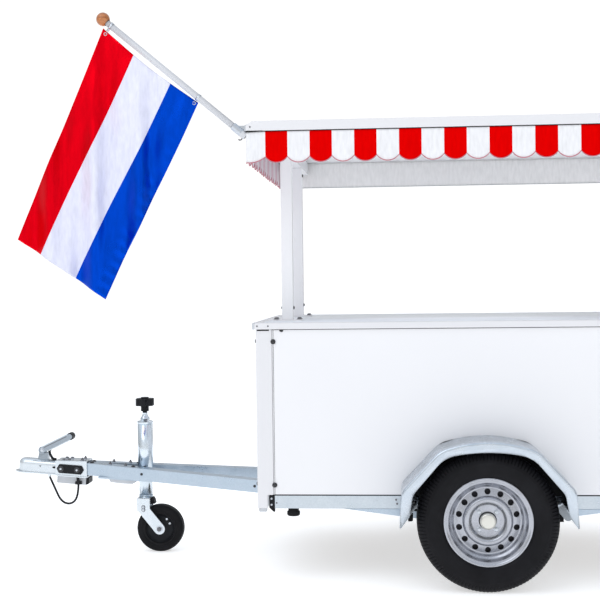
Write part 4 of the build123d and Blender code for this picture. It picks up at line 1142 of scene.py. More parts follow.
@dataclass
class Flag:
    """The three-colour flag on its pole, with hems, eyelets and the pole's wooden ball."""

    plane: float = -0.705
    hoist_top: Pair = (-0.999, 2.360)
    hoist_low: Pair = (-0.601, 2.040)
    fly_low: Pair = (-1.008, 1.222)
    fly_top: Pair = (-1.380, 1.478)
    flat: Pair = (0.511, 0.94)
    columns: int = 90
    rows: int = 120
    seams: tuple[Pair, ...] = ((0.0, 0.0), (0.329, 0.257), (0.717, 0.659), (1.0, 1.0))
    sag: float = 0.012
    sway: float = 0.004
    sway_reach: Pair = (0.15, 0.7)
    fold: float = 0.019
    fold_pitch: float = 0.185
    fold_drift: float = 1.6
    fold_growth: Pair = (0.25, 1.6)
    ripple: Pair = (0.45, 1.9)
    ripple_drift: Pair = (2.3, 0.9)
    lean: Pair = (-0.24, 0.10)
    crease: float = 0.0045
    creases: float = 5.2
    crease_bend: Pair = (1.4, 2.2)
    crease_start: float = 0.3
    flutter: float = 0.003
    flutters: int = 19
    flutter_edge: int = 7
    cloth: float = 0.0006
    hem: float = 0.0016
    eyelet: float = 0.0085
    eyelet_inset: Pair = (0.034, 0.013)
    ball: float = 0.0285
    ball_seat: Pair = (0.017, -0.62)
    ball_degrees: tuple[int, int] = (-54, 6)

    EYELET_RING = (
        (0.45, 0.0), (0.6, 0.25), (0.85, 0.25), (1.0, 0.0), (0.85, -0.25), (0.6, -0.25), (0.45, 0.0),
    )

    @property
    def stripes(self) -> int:
        """How many stripes the seams part."""
        return len(self.seams) - 1

    def place(self, across: float, down: float) -> Point:
        """Point of the cloth, from the hoist's top corner across to its low corner and down to the fly.

        Args:
            across: Share of the flat cloth's width.
            down: Share of the flat cloth's length.

        Returns:
            The point, with the folds that hang straight down from the slanted pole.
        """
        stripe = min(int(self.stripes * across), self.stripes - 1)
        before, after = (hoist + (fly - hoist) * down for hoist, fly in self.seams[stripe:stripe + 2])
        across = before + (after - before) * (self.stripes * across - stripe)
        start = Vector(self.hoist_top).lerp(Vector(self.hoist_low), across)
        stop = Vector(self.fly_top).lerp(Vector(self.fly_low), across)
        flat = start.lerp(stop, down)
        lengthwise = (stop - start).normalized()
        sideways = Vector((-lengthwise.y, lengthwise.x))
        flat += lengthwise * self.sag * math.sin(math.pi * across) * (1 - down) ** 2
        edge, span = self.sway_reach
        flat += sideways * self.sway * math.sin(math.tau * down) * math.sin(math.pi * (edge + span * across))
        depth = self.depth(flat, across, down)
        return flat.x + self.lean[0] * depth, self.plane + depth, flat.y + self.lean[1] * depth

    def depth(self, flat: Vector, across: float, down: float) -> float:
        """How far a point of the cloth stands behind the flag's plane.

        Args:
            flat: The point's (x, z) in the plane.
            across: Share of the flat cloth's width.
            down: Share of the flat cloth's length.

        Returns:
            The depth of the folds, the creases from the pole and the flutter along the low edge.
        """
        turn = math.tau * flat.x / self.fold_pitch
        share, rate = self.ripple
        drift, begin = self.ripple_drift
        waves = math.sin(turn + self.fold_drift * flat.y)
        waves += share * math.sin(rate * turn - drift * flat.y + begin)
        bend, bend_rate = self.crease_bend
        radiating = math.sin(math.tau * self.creases * across + bend * math.sin(bend_rate * down))
        least, growth = self.fold_growth
        depth = self.fold * min(1.0, least + growth * down) * waves
        depth += self.crease * (1 - down) * down ** self.crease_start * radiating
        low_edge = max(0.0, self.flutter_edge * across - (self.flutter_edge - 1))
        return depth + self.flutter * math.sin(math.tau * self.flutters * down) * low_edge * down

    def build(self) -> None:
        """Hangs the flag, and turns the ball on the pole's tip."""
        width = self.columns // self.stripes
        shape = Shape()
        shape.sheet(
            lambda column, row: self.place(column / self.columns, row / self.rows), self.columns, self.rows,
            lambda column, row: min(column // width, self.stripes - 1))
        cloth = shape.piece("flag_cloth", Body.CHASSIS, FLAG_RED, FLAG_WHITE, FLAG_BLUE, thick=self.cloth)
        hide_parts("flag")
        hems = [self.hem_tube(f"flag_hem_{name}", across, finish) for name, across, finish in (
            ("top", 0.0, FLAG_RED), ("low", 1.0, FLAG_BLUE))]
        eyelets = self.eyelets()
        self.wooden_ball()

    def hem_tube(self, name: str, across: float, finish: Finish) -> bpy.types.Object:
        """Rolls a hem along one long edge of the cloth.

        Args:
            name: Name of the piece.
            across: Share of the cloth's width at that edge.
            finish: Finish of the hem.

        Returns:
            The new object.
        """
        shape = Shape()
        shape.tube([self.place(across, row / self.rows) for row in range(self.rows + 1)], self.hem)
        return shape.piece(name, Body.CHASSIS, finish)

    def eyelets(self) -> bpy.types.Object:
        """Presses a metal eyelet into each corner of the hoist.

        Returns:
            The new object.
        """
        shape = Shape()
        inset, depth = self.eyelet_inset
        profile = [(self.eyelet * radius, self.eyelet * height) for radius, height in self.EYELET_RING]
        for across in (inset, 1 - inset):
            shape.lathe(profile, facing(self.place(across, depth), LEFTWARD), steps=24)
        return shape.piece("flag_eyelets", Body.CHASSIS, STEEL)

    def wooden_ball(self) -> None:
        """Turns the ball at the pole's tip, flat where it sits on the pole."""
        low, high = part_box("pole_ball")
        centre = Vector((low.x + self.ball, self.plane, high.z - self.ball))
        aim = Vector((self.hoist_top[0] - self.hoist_low[0], 0.0, self.hoist_top[1] - self.hoist_low[1]))
        first, step = self.ball_degrees
        turns = [math.radians(angle) for angle in range(first, 90, step)]
        seat, level = self.ball_seat[0], self.ball_seat[1] * self.ball
        profile = [(0.0, level), (seat, level)]
        profile += [(self.ball * math.cos(turn), self.ball * math.sin(turn)) for turn in turns]
        shape = Shape()
        shape.lathe([*profile, (0.0, self.ball)], facing(centre, aim.normalized()), steps=40)
        ball = shape.piece("flag_pole_ball", Body.CHASSIS, BALL_WOOD)
        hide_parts("pole_ball")


@dataclass
class RoadWheel:
    """One road wheel: tyre with its tread, pressed rim with round vents, bolts, dust cap and drum."""

    side: Side
    axle: Pair = (0.582, 0.292)
    half_track: float = 0.700
    blocks: int = 116
    block_cuts: tuple[Pair, ...] = ((0.0, 0.0), (0.08, 1.0), (0.36, 1.0), (0.44, 0.0))
    stagger: float = 0.35
    notch: Pair = (0.0032, 0.0020)
    vents: int = 14
    vent_circle: float = 0.1205
    vent_radius: float = 0.0125
    vent_band: Pair = (0.104, 0.134)
    vent_arc: int = 8
    vent_side: int = 4
    bolts: int = 4
    bolt_circle: float = 0.050
    marks: int = 2
    mark_circle: float = 0.053

    # millimetres out from the wheel's middle, radius, share of the notch's depth
    TYRE = (
        (57, 169, 0), (61.5, 176, 0), (62, 183.5, 0), (66.5, 187.5, 0), (69.8, 192.5, 0), (71.2, 194, 0),
        (71.6, 197, 0), (73.5, 204, 0), (75.6, 213, 0), (77, 224, 0), (77.2, 235, 0), (76.4, 244, 0),
        (76.7, 246.5, 0), (75.2, 249, 0), (73.4, 256, 0), (72.6, 258, 0.1), (71, 262, 0.5), (68.4, 268, 0.9),
        (65, 274, 1), (59.5, 281, 1), (52.5, 287, 1), (46, 290, 0.8), (38, 291.2, 0.1), (31, 291.7, 0),
        (29.5, 285, 0), (23.5, 285, 0), (22, 291.9, 0), (5, 292, 0), (3.8, 285.5, 0), (0, 285.5, 0),
    )
    # radius and millimetres out from the wheel's middle
    RIM_FRONT = (
        (182.5, 61.5), (182.5, 64.6), (180.5, 66), (176.5, 66), (173.2, 64), (171, 61.6),
        (166.5, 60.6), (163.6, 59), (161.6, 54), (160.8, 44), (160, 36.5), (156.5, 31), (150.5, 26.5),
        (145.5, 22), (142.2, 16), (139.2, 12.8), (136.4, 12), (134, 12.4),
    )
    RIM_RING = (
        (104, 22), (102.8, 24.6), (101, 30.2), (97.5, 35.6), (92.6, 39), (87, 40), (81, 38.4),
        (76, 34.2), (72.2, 27.4), (69.4, 21.4), (66.2, 18.6), (62, 18), (34, 18), (34, 12.2),
        (66, 12.2), (104, 8),
    )
    RIM_BACK = (
        (134, 4), (145, 2), (145.6, -22), (160, -30), (160.6, -59), (166, -62), (167.2, -58),
        (166, -31), (151.4, -21), (151.4, 20), (156, 27), (166, 33), (167.2, 56), (170, 60), (178, 61),
        (182.5, 61.5),
    )
    DRUM = (
        (39.5, -34), (39.5, -6), (66, -3), (126, -3), (135, -5), (139, -9), (139, -14), (137, -16),
        (137, -20), (139, -22), (139, -34),
    )
    BOLT = (
        (9.5, 17.5), (11, 18.5), (11, 19.5), (9, 21), (8.2, 21), (8.2, 26), (7, 28), (3.5, 29),
        (0, 29.2),
    )
    MARK = ((2.6, 17.8), (2.6, 19), (1.6, 19.8), (0, 20))
    CAP_SEAL = ((33.4, 17.9), (37, 17.9), (37, 20.5), (35.8, 21.4), (33.4, 21.4))
    CAP = (
        (33.4, 21.4), (33.4, 41.6), (32.6, 43.6), (30.4, 45.4), (28, 46.6), (27, 48.2), (25.5, 48.6),
        (14, 48.8), (0, 48.9),
    )

    def __post_init__(self) -> None:
        """Sets the wheel's frame, with its Z axis pointing outward."""
        self.name = self.side.name.lower()
        self.body = Body[f"WHEEL_{self.side.name}"]
        place = (self.axle[0], self.side.value * self.half_track, self.axle[1])
        self.frame = facing(place, (0.0, float(self.side.value), 0.0))

    def build(self) -> None:
        """Builds the tyre, the rim and the fittings of the hub."""
        self.tyre()
        self.rim()
        self.fittings()

    def tyre(self) -> None:
        """Moulds the tyre, with notches round both shoulders and grooves round the tread."""
        section = [*self.TYRE, *[(-out, radius, weight) for out, radius, weight in reversed(self.TYRE[:-1])]]
        pitch = math.tau / self.blocks
        turns = [(block + step) * pitch for block in range(self.blocks) for step, _ in self.block_cuts]
        cuts = [cut for _, cut in self.block_cuts] * self.blocks

        def place(column: int, row: int) -> Point:
            """Point of the tyre at a step round it and a place of its section."""
            out, radius, weight = section[row]
            deep, narrow = (depth * weight * cuts[column] for depth in self.notch)
            reach = radius * MM - deep
            turn = turns[column] + (self.stagger * pitch if out < 0 else 0.0)
            return tuple(self.frame @ Vector((
                reach * math.cos(turn), reach * math.sin(turn), out * MM - math.copysign(narrow, out))))

        shape = Shape()
        shape.sheet(place, len(turns), len(section) - 1, closed=True)
        shape.sheet(lambda column, row: place(column, -row), len(turns), 1, closed=True)
        bmesh.ops.remove_doubles(shape.bm, verts=shape.bm.verts, dist=SEAM_GAP)
        tyre = shape.piece(f"tyre_{self.name}_tread", self.body, TYRE_RUBBER)
        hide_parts(f"tyre_{self.name}")

    def rim(self) -> None:
        """Presses the rim from three turned bands, with the vents pierced between them."""
        shape = Shape()
        steps = self.vents * self.vent_arc
        for band in (self.RIM_FRONT, self.RIM_RING, self.RIM_BACK):
            shape.lathe(metres(band), self.frame, steps)
        front = (self.RIM_RING[0][1] * MM, self.RIM_FRONT[-1][1] * MM)
        back = (self.RIM_RING[-1][1] * MM, self.RIM_BACK[0][1] * MM)
        for vent in range(self.vents):
            holes = [self.vent_panel(shape, vent, heights) for heights in (front, back)]
            shape.skirt(*holes)
        bmesh.ops.remove_doubles(shape.bm, verts=shape.bm.verts, dist=WELD_GAP)
        rim = shape.piece(f"rim_{self.name}_pressing", self.body, SILVER)
        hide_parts(f"rim_{self.name}")

    def vent_panel(self, shape: Shape, vent: int, heights: Pair) -> list[bmesh.types.BMVert]:
        """Adds one sector of the rim's disc round a vent.

        Args:
            shape: Mesh that takes the faces.
            vent: Number of the vent.
            heights: Height of the disc at the band's inner and outer radius.

        Returns:
            The corners round the hole.
        """
        inner, outer = self.vent_band
        half = math.pi / self.vents
        arcs = [2 * half * step / self.vent_arc - half for step in range(self.vent_arc)]
        sides = [inner + (outer - inner) * step / self.vent_side for step in range(self.vent_side)]
        border = [(inner, arc) for arc in arcs] + [(radius, half) for radius in sides]
        border += [(outer, -arc) for arc in arcs] + [(outer + inner - radius, -half) for radius in sides]
        middle = 2 * half * (vent + 0.5)

        def point(radius: float, turn: float) -> bmesh.types.BMVert:
            """Corner of the disc at a radius and a turn from the vent's middle."""
            height = heights[0] + (heights[1] - heights[0]) * (radius - inner) / (outer - inner)
            spin = middle + turn
            place = Vector((radius * math.cos(spin), radius * math.sin(spin), height))
            return shape.bm.verts.new(self.frame @ place)

        rim, hole = [], []
        for radius, turn in border:
            rim.append(point(radius, turn))
            rise, run = radius - self.vent_circle, self.vent_circle * turn
            reach = self.vent_radius / math.hypot(rise, run)
            hole.append(point(self.vent_circle + rise * reach, turn * reach))
        shape.skirt(rim, hole)
        return hole

    def fittings(self) -> None:
        """Adds the wheel bolts, the marks between them, the dust cap with its dark ring, and the drum, near
        black so that the vents show dark: partly painted shade for the shadow under the trailer.
        """
        shape = Shape()
        for count, radius, profile, begin in (
            (self.bolts, self.bolt_circle, self.BOLT, math.pi / 4),
            (self.marks, self.mark_circle, self.MARK, 0.0),
        ):
            for index in range(count):
                angle = math.tau * index / count + begin
                seat = Matrix.Translation((radius * math.cos(angle), radius * math.sin(angle), 0.0))
                shape.lathe(metres(profile), self.frame @ seat, steps=20)
        shape.piece(f"wheel_bolts_{self.name}", self.body, STEEL)
        shape = Shape()
        shape.lathe(metres(self.CAP_SEAL), self.frame, steps=56, slot=0)
        shape.lathe(metres(self.CAP), self.frame, steps=56, slot=1)
        shape.piece(f"dust_cap_{self.name}", self.body, SOFT_RUBBER, CAP_PLATE)
        shape = Shape()
        shape.lathe(metres(self.DRUM), self.frame, steps=72, closed=True)
        shape.piece(f"hub_drum_shade_{self.name}", self.body, DRUM_IRON_AND_SHADE)


@dataclass(frozen=True)
class Head:
    """A bolt or screw head, as (radius, height) pairs in millimetres over the face that it holds."""

    crown: tuple[Pair, ...]
    washer: tuple[Pair, ...] = ()
    sides: int = 24

    WASHER_SIDES = 24

    def stand(self, shape: Shape, frame: Matrix, size: float = 1.0) -> None:
        """Adds the crown in slot 0 and the washer in slot 1.

        Args:
            shape: Mesh that takes the faces.
            frame: Seat of the head, with its Z axis pointing out.
            size: Scale of the head.
        """
        for profile, sides, slot in ((self.crown, self.sides, 0), (self.washer, self.WASHER_SIDES, 1)):
            if profile:
                turned = [(radius * size, height * size) for radius, height in metres(profile)]
                shape.lathe([(0.0, turned[0][1]), *turned, (0.0, turned[-1][1])], frame, sides, slot)


DOME = Head(((11, -0.5), (11, 1.2), (10.2, 3.4), (8, 5.6), (4.6, 7), (1.5, 7.4)))
PAN = Head(((4.6, -0.5), (4.6, 0.9), (3.6, 2.1), (1.2, 2.5)), sides=16)
HEX = Head(((6.6, 1.2), (6.6, 5.6), (5.8, 6.6), (2.5, 6.9)), ((9.4, -0.5), (9.4, 1), (8.8, 1.5)), sides=6)
STUD = Head(
    ((7.5, 1.2), (7.5, 7.4), (6.6, 8.4), (4, 8.5), (4, 13.4), (3.2, 14.2)), ((11, -1), (11, 1.6)), sides=6)
RINGED = Head(
    ((6.2, 3), (6.2, 5.2), (4.8, 7.2), (2, 8)), ((14.5, -0.5), (14.5, 2.4), (13, 3.8), (7.5, 3.8), (6.5, 3)))
Spot = tuple[Point, Point]


def seats(normal: Point, *places: Point) -> list[Spot]:
    """Spots that all face along one normal."""
    return [(place, normal) for place in places]


def with_mirrored(spots: Iterable[Spot], axis: Axis, middle: float = 0.0) -> list[Spot]:
    """The spots together with their images across a plane.

    Args:
        spots: (place, outward normal) pairs.
        axis: Axis that the plane stands across.
        middle: Where the plane stands on that axis.

    Returns:
        Twice as many spots.
    """
    made: list[Spot] = []
    for place, normal in spots:
        made.append((place, normal))
        image = [2 * middle - value if index == axis else value for index, value in enumerate(place)]
        flipped = [-value if index == axis else value for index, value in enumerate(normal)]
        made.append((tuple(image), tuple(flipped)))
    return made


def at_corners(spots: Iterable[Spot], middle: float) -> list[Spot]:
    """The spots of a left front corner, repeated at all four corners round a middle station on X."""
    return with_mirrored(with_mirrored(spots, Axis.Y), Axis.X, middle)


@dataclass
class Fasteners:
    """Like bolts or screws of one body, each seated on the face that it holds."""

    name: str
    head: Head
    spots: Sequence[Spot]
    crown: Finish = STEEL
    washer: Finish = STEEL
    body: Body = Body.CHASSIS
    size: float = 1.0
    spin: float = 0.4

    def build(self) -> None:
        """Sets every head on its spot."""
        shape = Shape()
        for place, normal in self.spots:
            self.head.stand(shape, facing(place, normal, self.spin), self.size)
        shape.piece(self.name, self.body, self.crown, self.washer)


@dataclass
class BoxFittings:
    """Bolts, screws and dark strips on the box, the rails and the canopy; the strips are partly rubber seal
    and partly painted shade, and the black plates inside the wings are painted shade.
    """

    middle: float = 0.614
    axle: float = 0.582
    mast: Pair = (-0.271, 0.300)
    mast_half: float = 0.025
    foot_top: float = 1.117
    foot_bolt: Pair = (0.052, 0.020)
    edge_reach: float = 0.010
    edge_lap: float = 0.001
    cap: float = 0.003
    through_bolt: float = 1.168
    beam_bolt: float = 1.8115
    # The black plates inside the wings are painted shade behind the tyres.
    splash_face: float = 0.5925
    splash_depth: float = 0.0045
    splash_crown: float = 0.040
    splash_steps: int = 12

    CORNER_BOLTS = ((-0.311, -0.590, 1.030), (-0.311, -0.590, 0.416))
    TOP_BOLTS = ((-0.275, -0.5885, 1.0795),)
    FRONT_BOLTS = ((-0.386, -0.552, 1.031), (-0.386, -0.552, 0.416))
    EDGE_SCREWS = (
        (-0.378, -0.600, 1.097), (-0.331, -0.600, 1.097), (-0.304, -0.588, 0.339), (-0.383, -0.722, 1.931),
    )
    RAIL_SCREWS = ((-0.326, -0.586, 0.357), (-0.326, -0.586, 0.331))
    WING_BOLTS = ((0.206, -0.588, 0.354), (0.210, -0.588, 0.337))
    STAY_BOLTS = ((0.282, -0.5925, 0.343),)
    # Dark strips, partly rubber seal and partly painted shade in the shadow gaps under the counter's trim and
    # along the joints.
    SEALS = (
        # X from and to, Z from and to, outer face, depth
        (-0.312, 1.540, 0.3705, 0.3755, 0.5892, 0.003),
        (-0.316, 1.544, 1.0800, 1.0835, 0.5895, 0.003),
        (-0.380, -0.328, 1.0765, 1.0835, 0.5912, 0.004),
        (1.556, 1.608, 1.0765, 1.0835, 0.5912, 0.004),
        (-0.3112, -0.3096, 0.376, 1.080, 0.5894, 0.003),
        (1.5376, 1.5392, 0.376, 1.080, 0.5894, 0.003),
    )
    WEDGE = ((-0.3365, 0.3175), (-0.3125, 0.3175), (-0.3125, 0.3000), (-0.3165, 0.2990))
    FOOT = ((0.256, 0.262), (0.273, 0.262), (0.277, 0.268), (0.277, 0.298), (0.256, 0.298))
    SPLASH = ((-0.338, 0.306), (-0.346, 0.424), (-0.196, 0.582))
    FOOT_PLATE = ((0.270, 0.276), (0.294, 0.276), (0.294, 0.317), (0.270, 0.317))

    def build(self) -> None:
        """Fits the bolts, the screws, the dark strips of seal and painted shade, the black plates of painted
        shade and the pieces at the rails' ends.
        """
        for name, head, places, middle, crown, size in (
            ("box_corner_bolts", DOME, self.CORNER_BOLTS, self.middle, BLACK_OXIDE, 1.0),
            ("box_top_bolts", DOME, self.TOP_BOLTS, self.middle, BLACK_OXIDE, 0.8),
            ("edge_screws", PAN, self.EDGE_SCREWS, self.middle, DARK_STEEL, 0.8),
            ("rail_end_screws", PAN, self.RAIL_SCREWS, self.middle, STEEL, 1.0),
            ("wing_bolts", HEX, self.WING_BOLTS, self.axle, DARK_STEEL, 0.7),
            ("wing_stay_bolts", HEX, self.STAY_BOLTS, self.axle, BLACK_OXIDE, 1.0),
        ):
            spots = at_corners(seats(LEFTWARD, *places), middle)
            Fasteners(name, head, spots, crown, size=size).build()
        ahead = with_mirrored(seats(FORWARD, *self.FRONT_BOLTS), Axis.Y)
        Fasteners("box_front_bolts", DOME, ahead, BLACK_OXIDE).build()
        self.mast_bolts()
        self.seals()
        self.rail_ends()
        self.counter_ends()
        self.splash_plates()

    def mast_bolts(self) -> None:
        """Bolts the foot plates down, and each mast through its sides."""
        along, across = self.mast
        out, aside = self.foot_bolt
        low = seats(UPWARD, *(
            (along + step * out, -across + side * aside, self.foot_top)
            for step in (-1, 1) for side in (-1, 1)))
        feet = at_corners(low, self.middle)
        Fasteners("mast_foot_bolts", HEX, feet, DARK_STEEL, DARK_STEEL, size=1.25).build()
        through = [
            ((along + step * self.mast_half, -across, self.through_bolt), (float(step), 0.0, 0.0))
            for step in (-1, 1)]
        high = [((place[0], across, self.beam_bolt), normal) for place, normal in through]
        spots = [*at_corners(through, self.middle), *with_mirrored(high, Axis.X, self.middle)]
        Fasteners("mast_through_bolts", DOME, spots, BLACK_OXIDE, size=0.75).build()

    def seals(self) -> None:
        """Lays the dark strips along the rails and under the counter's edge: partly rubber seal, partly
        painted shade standing in for the shadow gaps under the counter's trim and along the joints.
        """
        shape = Shape()
        for side in Side:
            for start, stop, low, high, face, depth in self.SEALS:
                outline = [(start, low), (stop, low), (stop, high), (start, high)]
                shape.plate(outline, side.value * face, -side.value * depth)
        shape.piece("box_seal_and_shade_strips", Body.CHASSIS, SOFT_RUBBER, edge=0.0006)

    def rail_ends(self) -> None:
        """Adds the black wedge under each rail end, and the rubber foot and its plate beside each wing."""
        shape = Shape()
        for outline, middle, face, depth, slot in (
            # outline, middle of the pair, outer face, depth, material slot
            (self.WEDGE, self.middle, 0.584, 0.022, 0),
            (self.FOOT, self.axle, 0.592, 0.014, 0),
            (self.FOOT_PLATE, self.axle, 0.5885, 0.005, 1),
        ):
            for side in Side:
                for flip in (1, -1):
                    drawn = [(middle + flip * (x - middle), z) for x, z in outline]
                    shape.plate(drawn, side.value * face, -side.value * depth, slot)
        shape.piece("rail_end_feet", Body.CHASSIS, SOFT_RUBBER, ZINC, edge=0.001)

    def splash_plates(self) -> None:
        """Closes each wing towards the box with a plate under black seal, round at its top like the wing; the
        black plate stands in for the deep shade behind the tyre, painted shade.
        """
        rise = [math.pi * step / self.splash_steps for step in range(1, self.splash_steps)]
        half, shoulder = -self.SPLASH[-1][0], self.SPLASH[-1][1]
        crown = [(-half * math.cos(turn), shoulder + self.splash_crown * math.sin(turn)) for turn in rise]
        right = [(-x, z) for x, z in reversed(self.SPLASH)]
        outline = [(self.axle + x, z) for x, z in (*self.SPLASH, *crown, *right)]
        shape = Shape()
        for side in Side:
            shape.plate(outline, side.value * self.splash_face, -side.value * self.splash_depth)
        shape.piece("wing_splash_and_shade_plates", Body.CHASSIS, SHADE_SEAL_BLACK, edge=0.001)

    def counter_ends(self) -> None:
        """Closes the counter's front and rear ends with an edge profile as deep as its trim."""
        low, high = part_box("counter_trim")
        shape = Shape()
        for start, stop in (
            (low.x - self.edge_reach, low.x + self.edge_lap),
            (high.x - self.edge_lap, high.x + self.edge_reach),
        ):
            outline = [(start, low.z), (stop, low.z), (stop, high.z), (start, high.z)]
            shape.plate(outline, low.y + self.cap, high.y - low.y - 2 * self.cap)
            for face in (low.y, high.y - self.cap):
                shape.plate(outline, face, self.cap, 1)
        shape.piece("counter_end_profiles", Body.CHASSIS, POWDER, GREY_PLASTIC, edge=0.0015)


@dataclass
class CanopyTrim:
    """Beads and corner straps of the canopy's frame, and the cup and wire hook at the flag pole's foot."""

    inset: float = 0.028
    bevel: float = 0.018
    bead: float = 0.0019
    drop: float = 0.0012
    wire: float = 0.0028
    foot: Point = (-0.420, -0.705, 1.908)
    pole_run: Pair = (0.568, -0.479)
    strap_proud: float = 0.001
    strap_depth: float = 0.003

    FOOT_CUP = (
        (13.6, -14), (15.6, -14), (16.2, -12), (16.2, 20), (15, 22.5), (11, 23.5), (11, 21),
        (13.4, 19),
    )
    HOOK = (
        (-0.4005, -0.7050, 1.9135), (-0.4035, -0.7055, 1.9040), (-0.4075, -0.7060, 1.8945),
        (-0.4165, -0.7060, 1.8860), (-0.4235, -0.7060, 1.8795), (-0.4295, -0.7060, 1.8785),
        (-0.4325, -0.7060, 1.8835),
    )
    STRAP = ((-0.4015, 1.9148), (-0.3300, 1.9148), (-0.3300, 1.9118), (-0.4015, 1.9078))

    def build(self) -> None:
        """Lays the beads and the corner straps, and fits the hook and the pole's cup."""
        low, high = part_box("roof_frame")
        shape = Shape()
        self.ring(shape, low, high, self.bead, low.z - self.drop)
        for side, face in ((Side.LEFT, low.y), (Side.RIGHT, high.y)):
            shape.plate(self.STRAP, face + side.value * self.strap_proud, -side.value * self.strap_depth)
        shape.piece("canopy_lower_bead", Body.CHASSIS, SOFT_RUBBER)
        shape = Shape()
        self.ring(shape, low, high, self.inset, high.z)
        for x, inner_x in ((low.x, low.x + self.inset), (high.x, high.x - self.inset)):
            for y, inner_y in ((low.y, low.y + self.inset), (high.y, high.y - self.inset)):
                shape.tube(((x, y, high.z - self.bevel), (inner_x, inner_y, high.z)), self.bead)
        shape.piece("canopy_upper_bead", Body.CHASSIS, GREY_PLASTIC)
        shape = Shape()
        shape.tube(self.HOOK, self.wire, sides=10)
        shape.piece("pole_foot_hook", Body.CHASSIS, DARK_STEEL)
        shape = Shape()
        aim = Vector((self.pole_run[0], 0.0, self.pole_run[1])).normalized()
        shape.lathe(metres(self.FOOT_CUP), facing(self.foot, aim), steps=32, closed=True)
        shape.piece("pole_foot_cup", Body.CHASSIS, POLE_PAINT)

    def ring(self, shape: Shape, low: Vector, high: Vector, inset: float, height: float) -> None:
        """Runs a bead along the four sides of the canopy.

        Args:
            shape: Mesh that takes the bead.
            low: Lowest corner of the frame.
            high: Highest corner of the frame.
            inset: How far inside the frame's sides the bead runs.
            height: Height of the bead.
        """
        left, right, front, rear = low.y + inset, high.y - inset, low.x + inset, high.x - inset
        corners = [(front, left, height), (rear, left, height), (rear, right, height), (front, right, height)]
        for start, stop in zip(corners, [*corners[1:], corners[0]]):
            shape.tube((start, stop), self.bead)


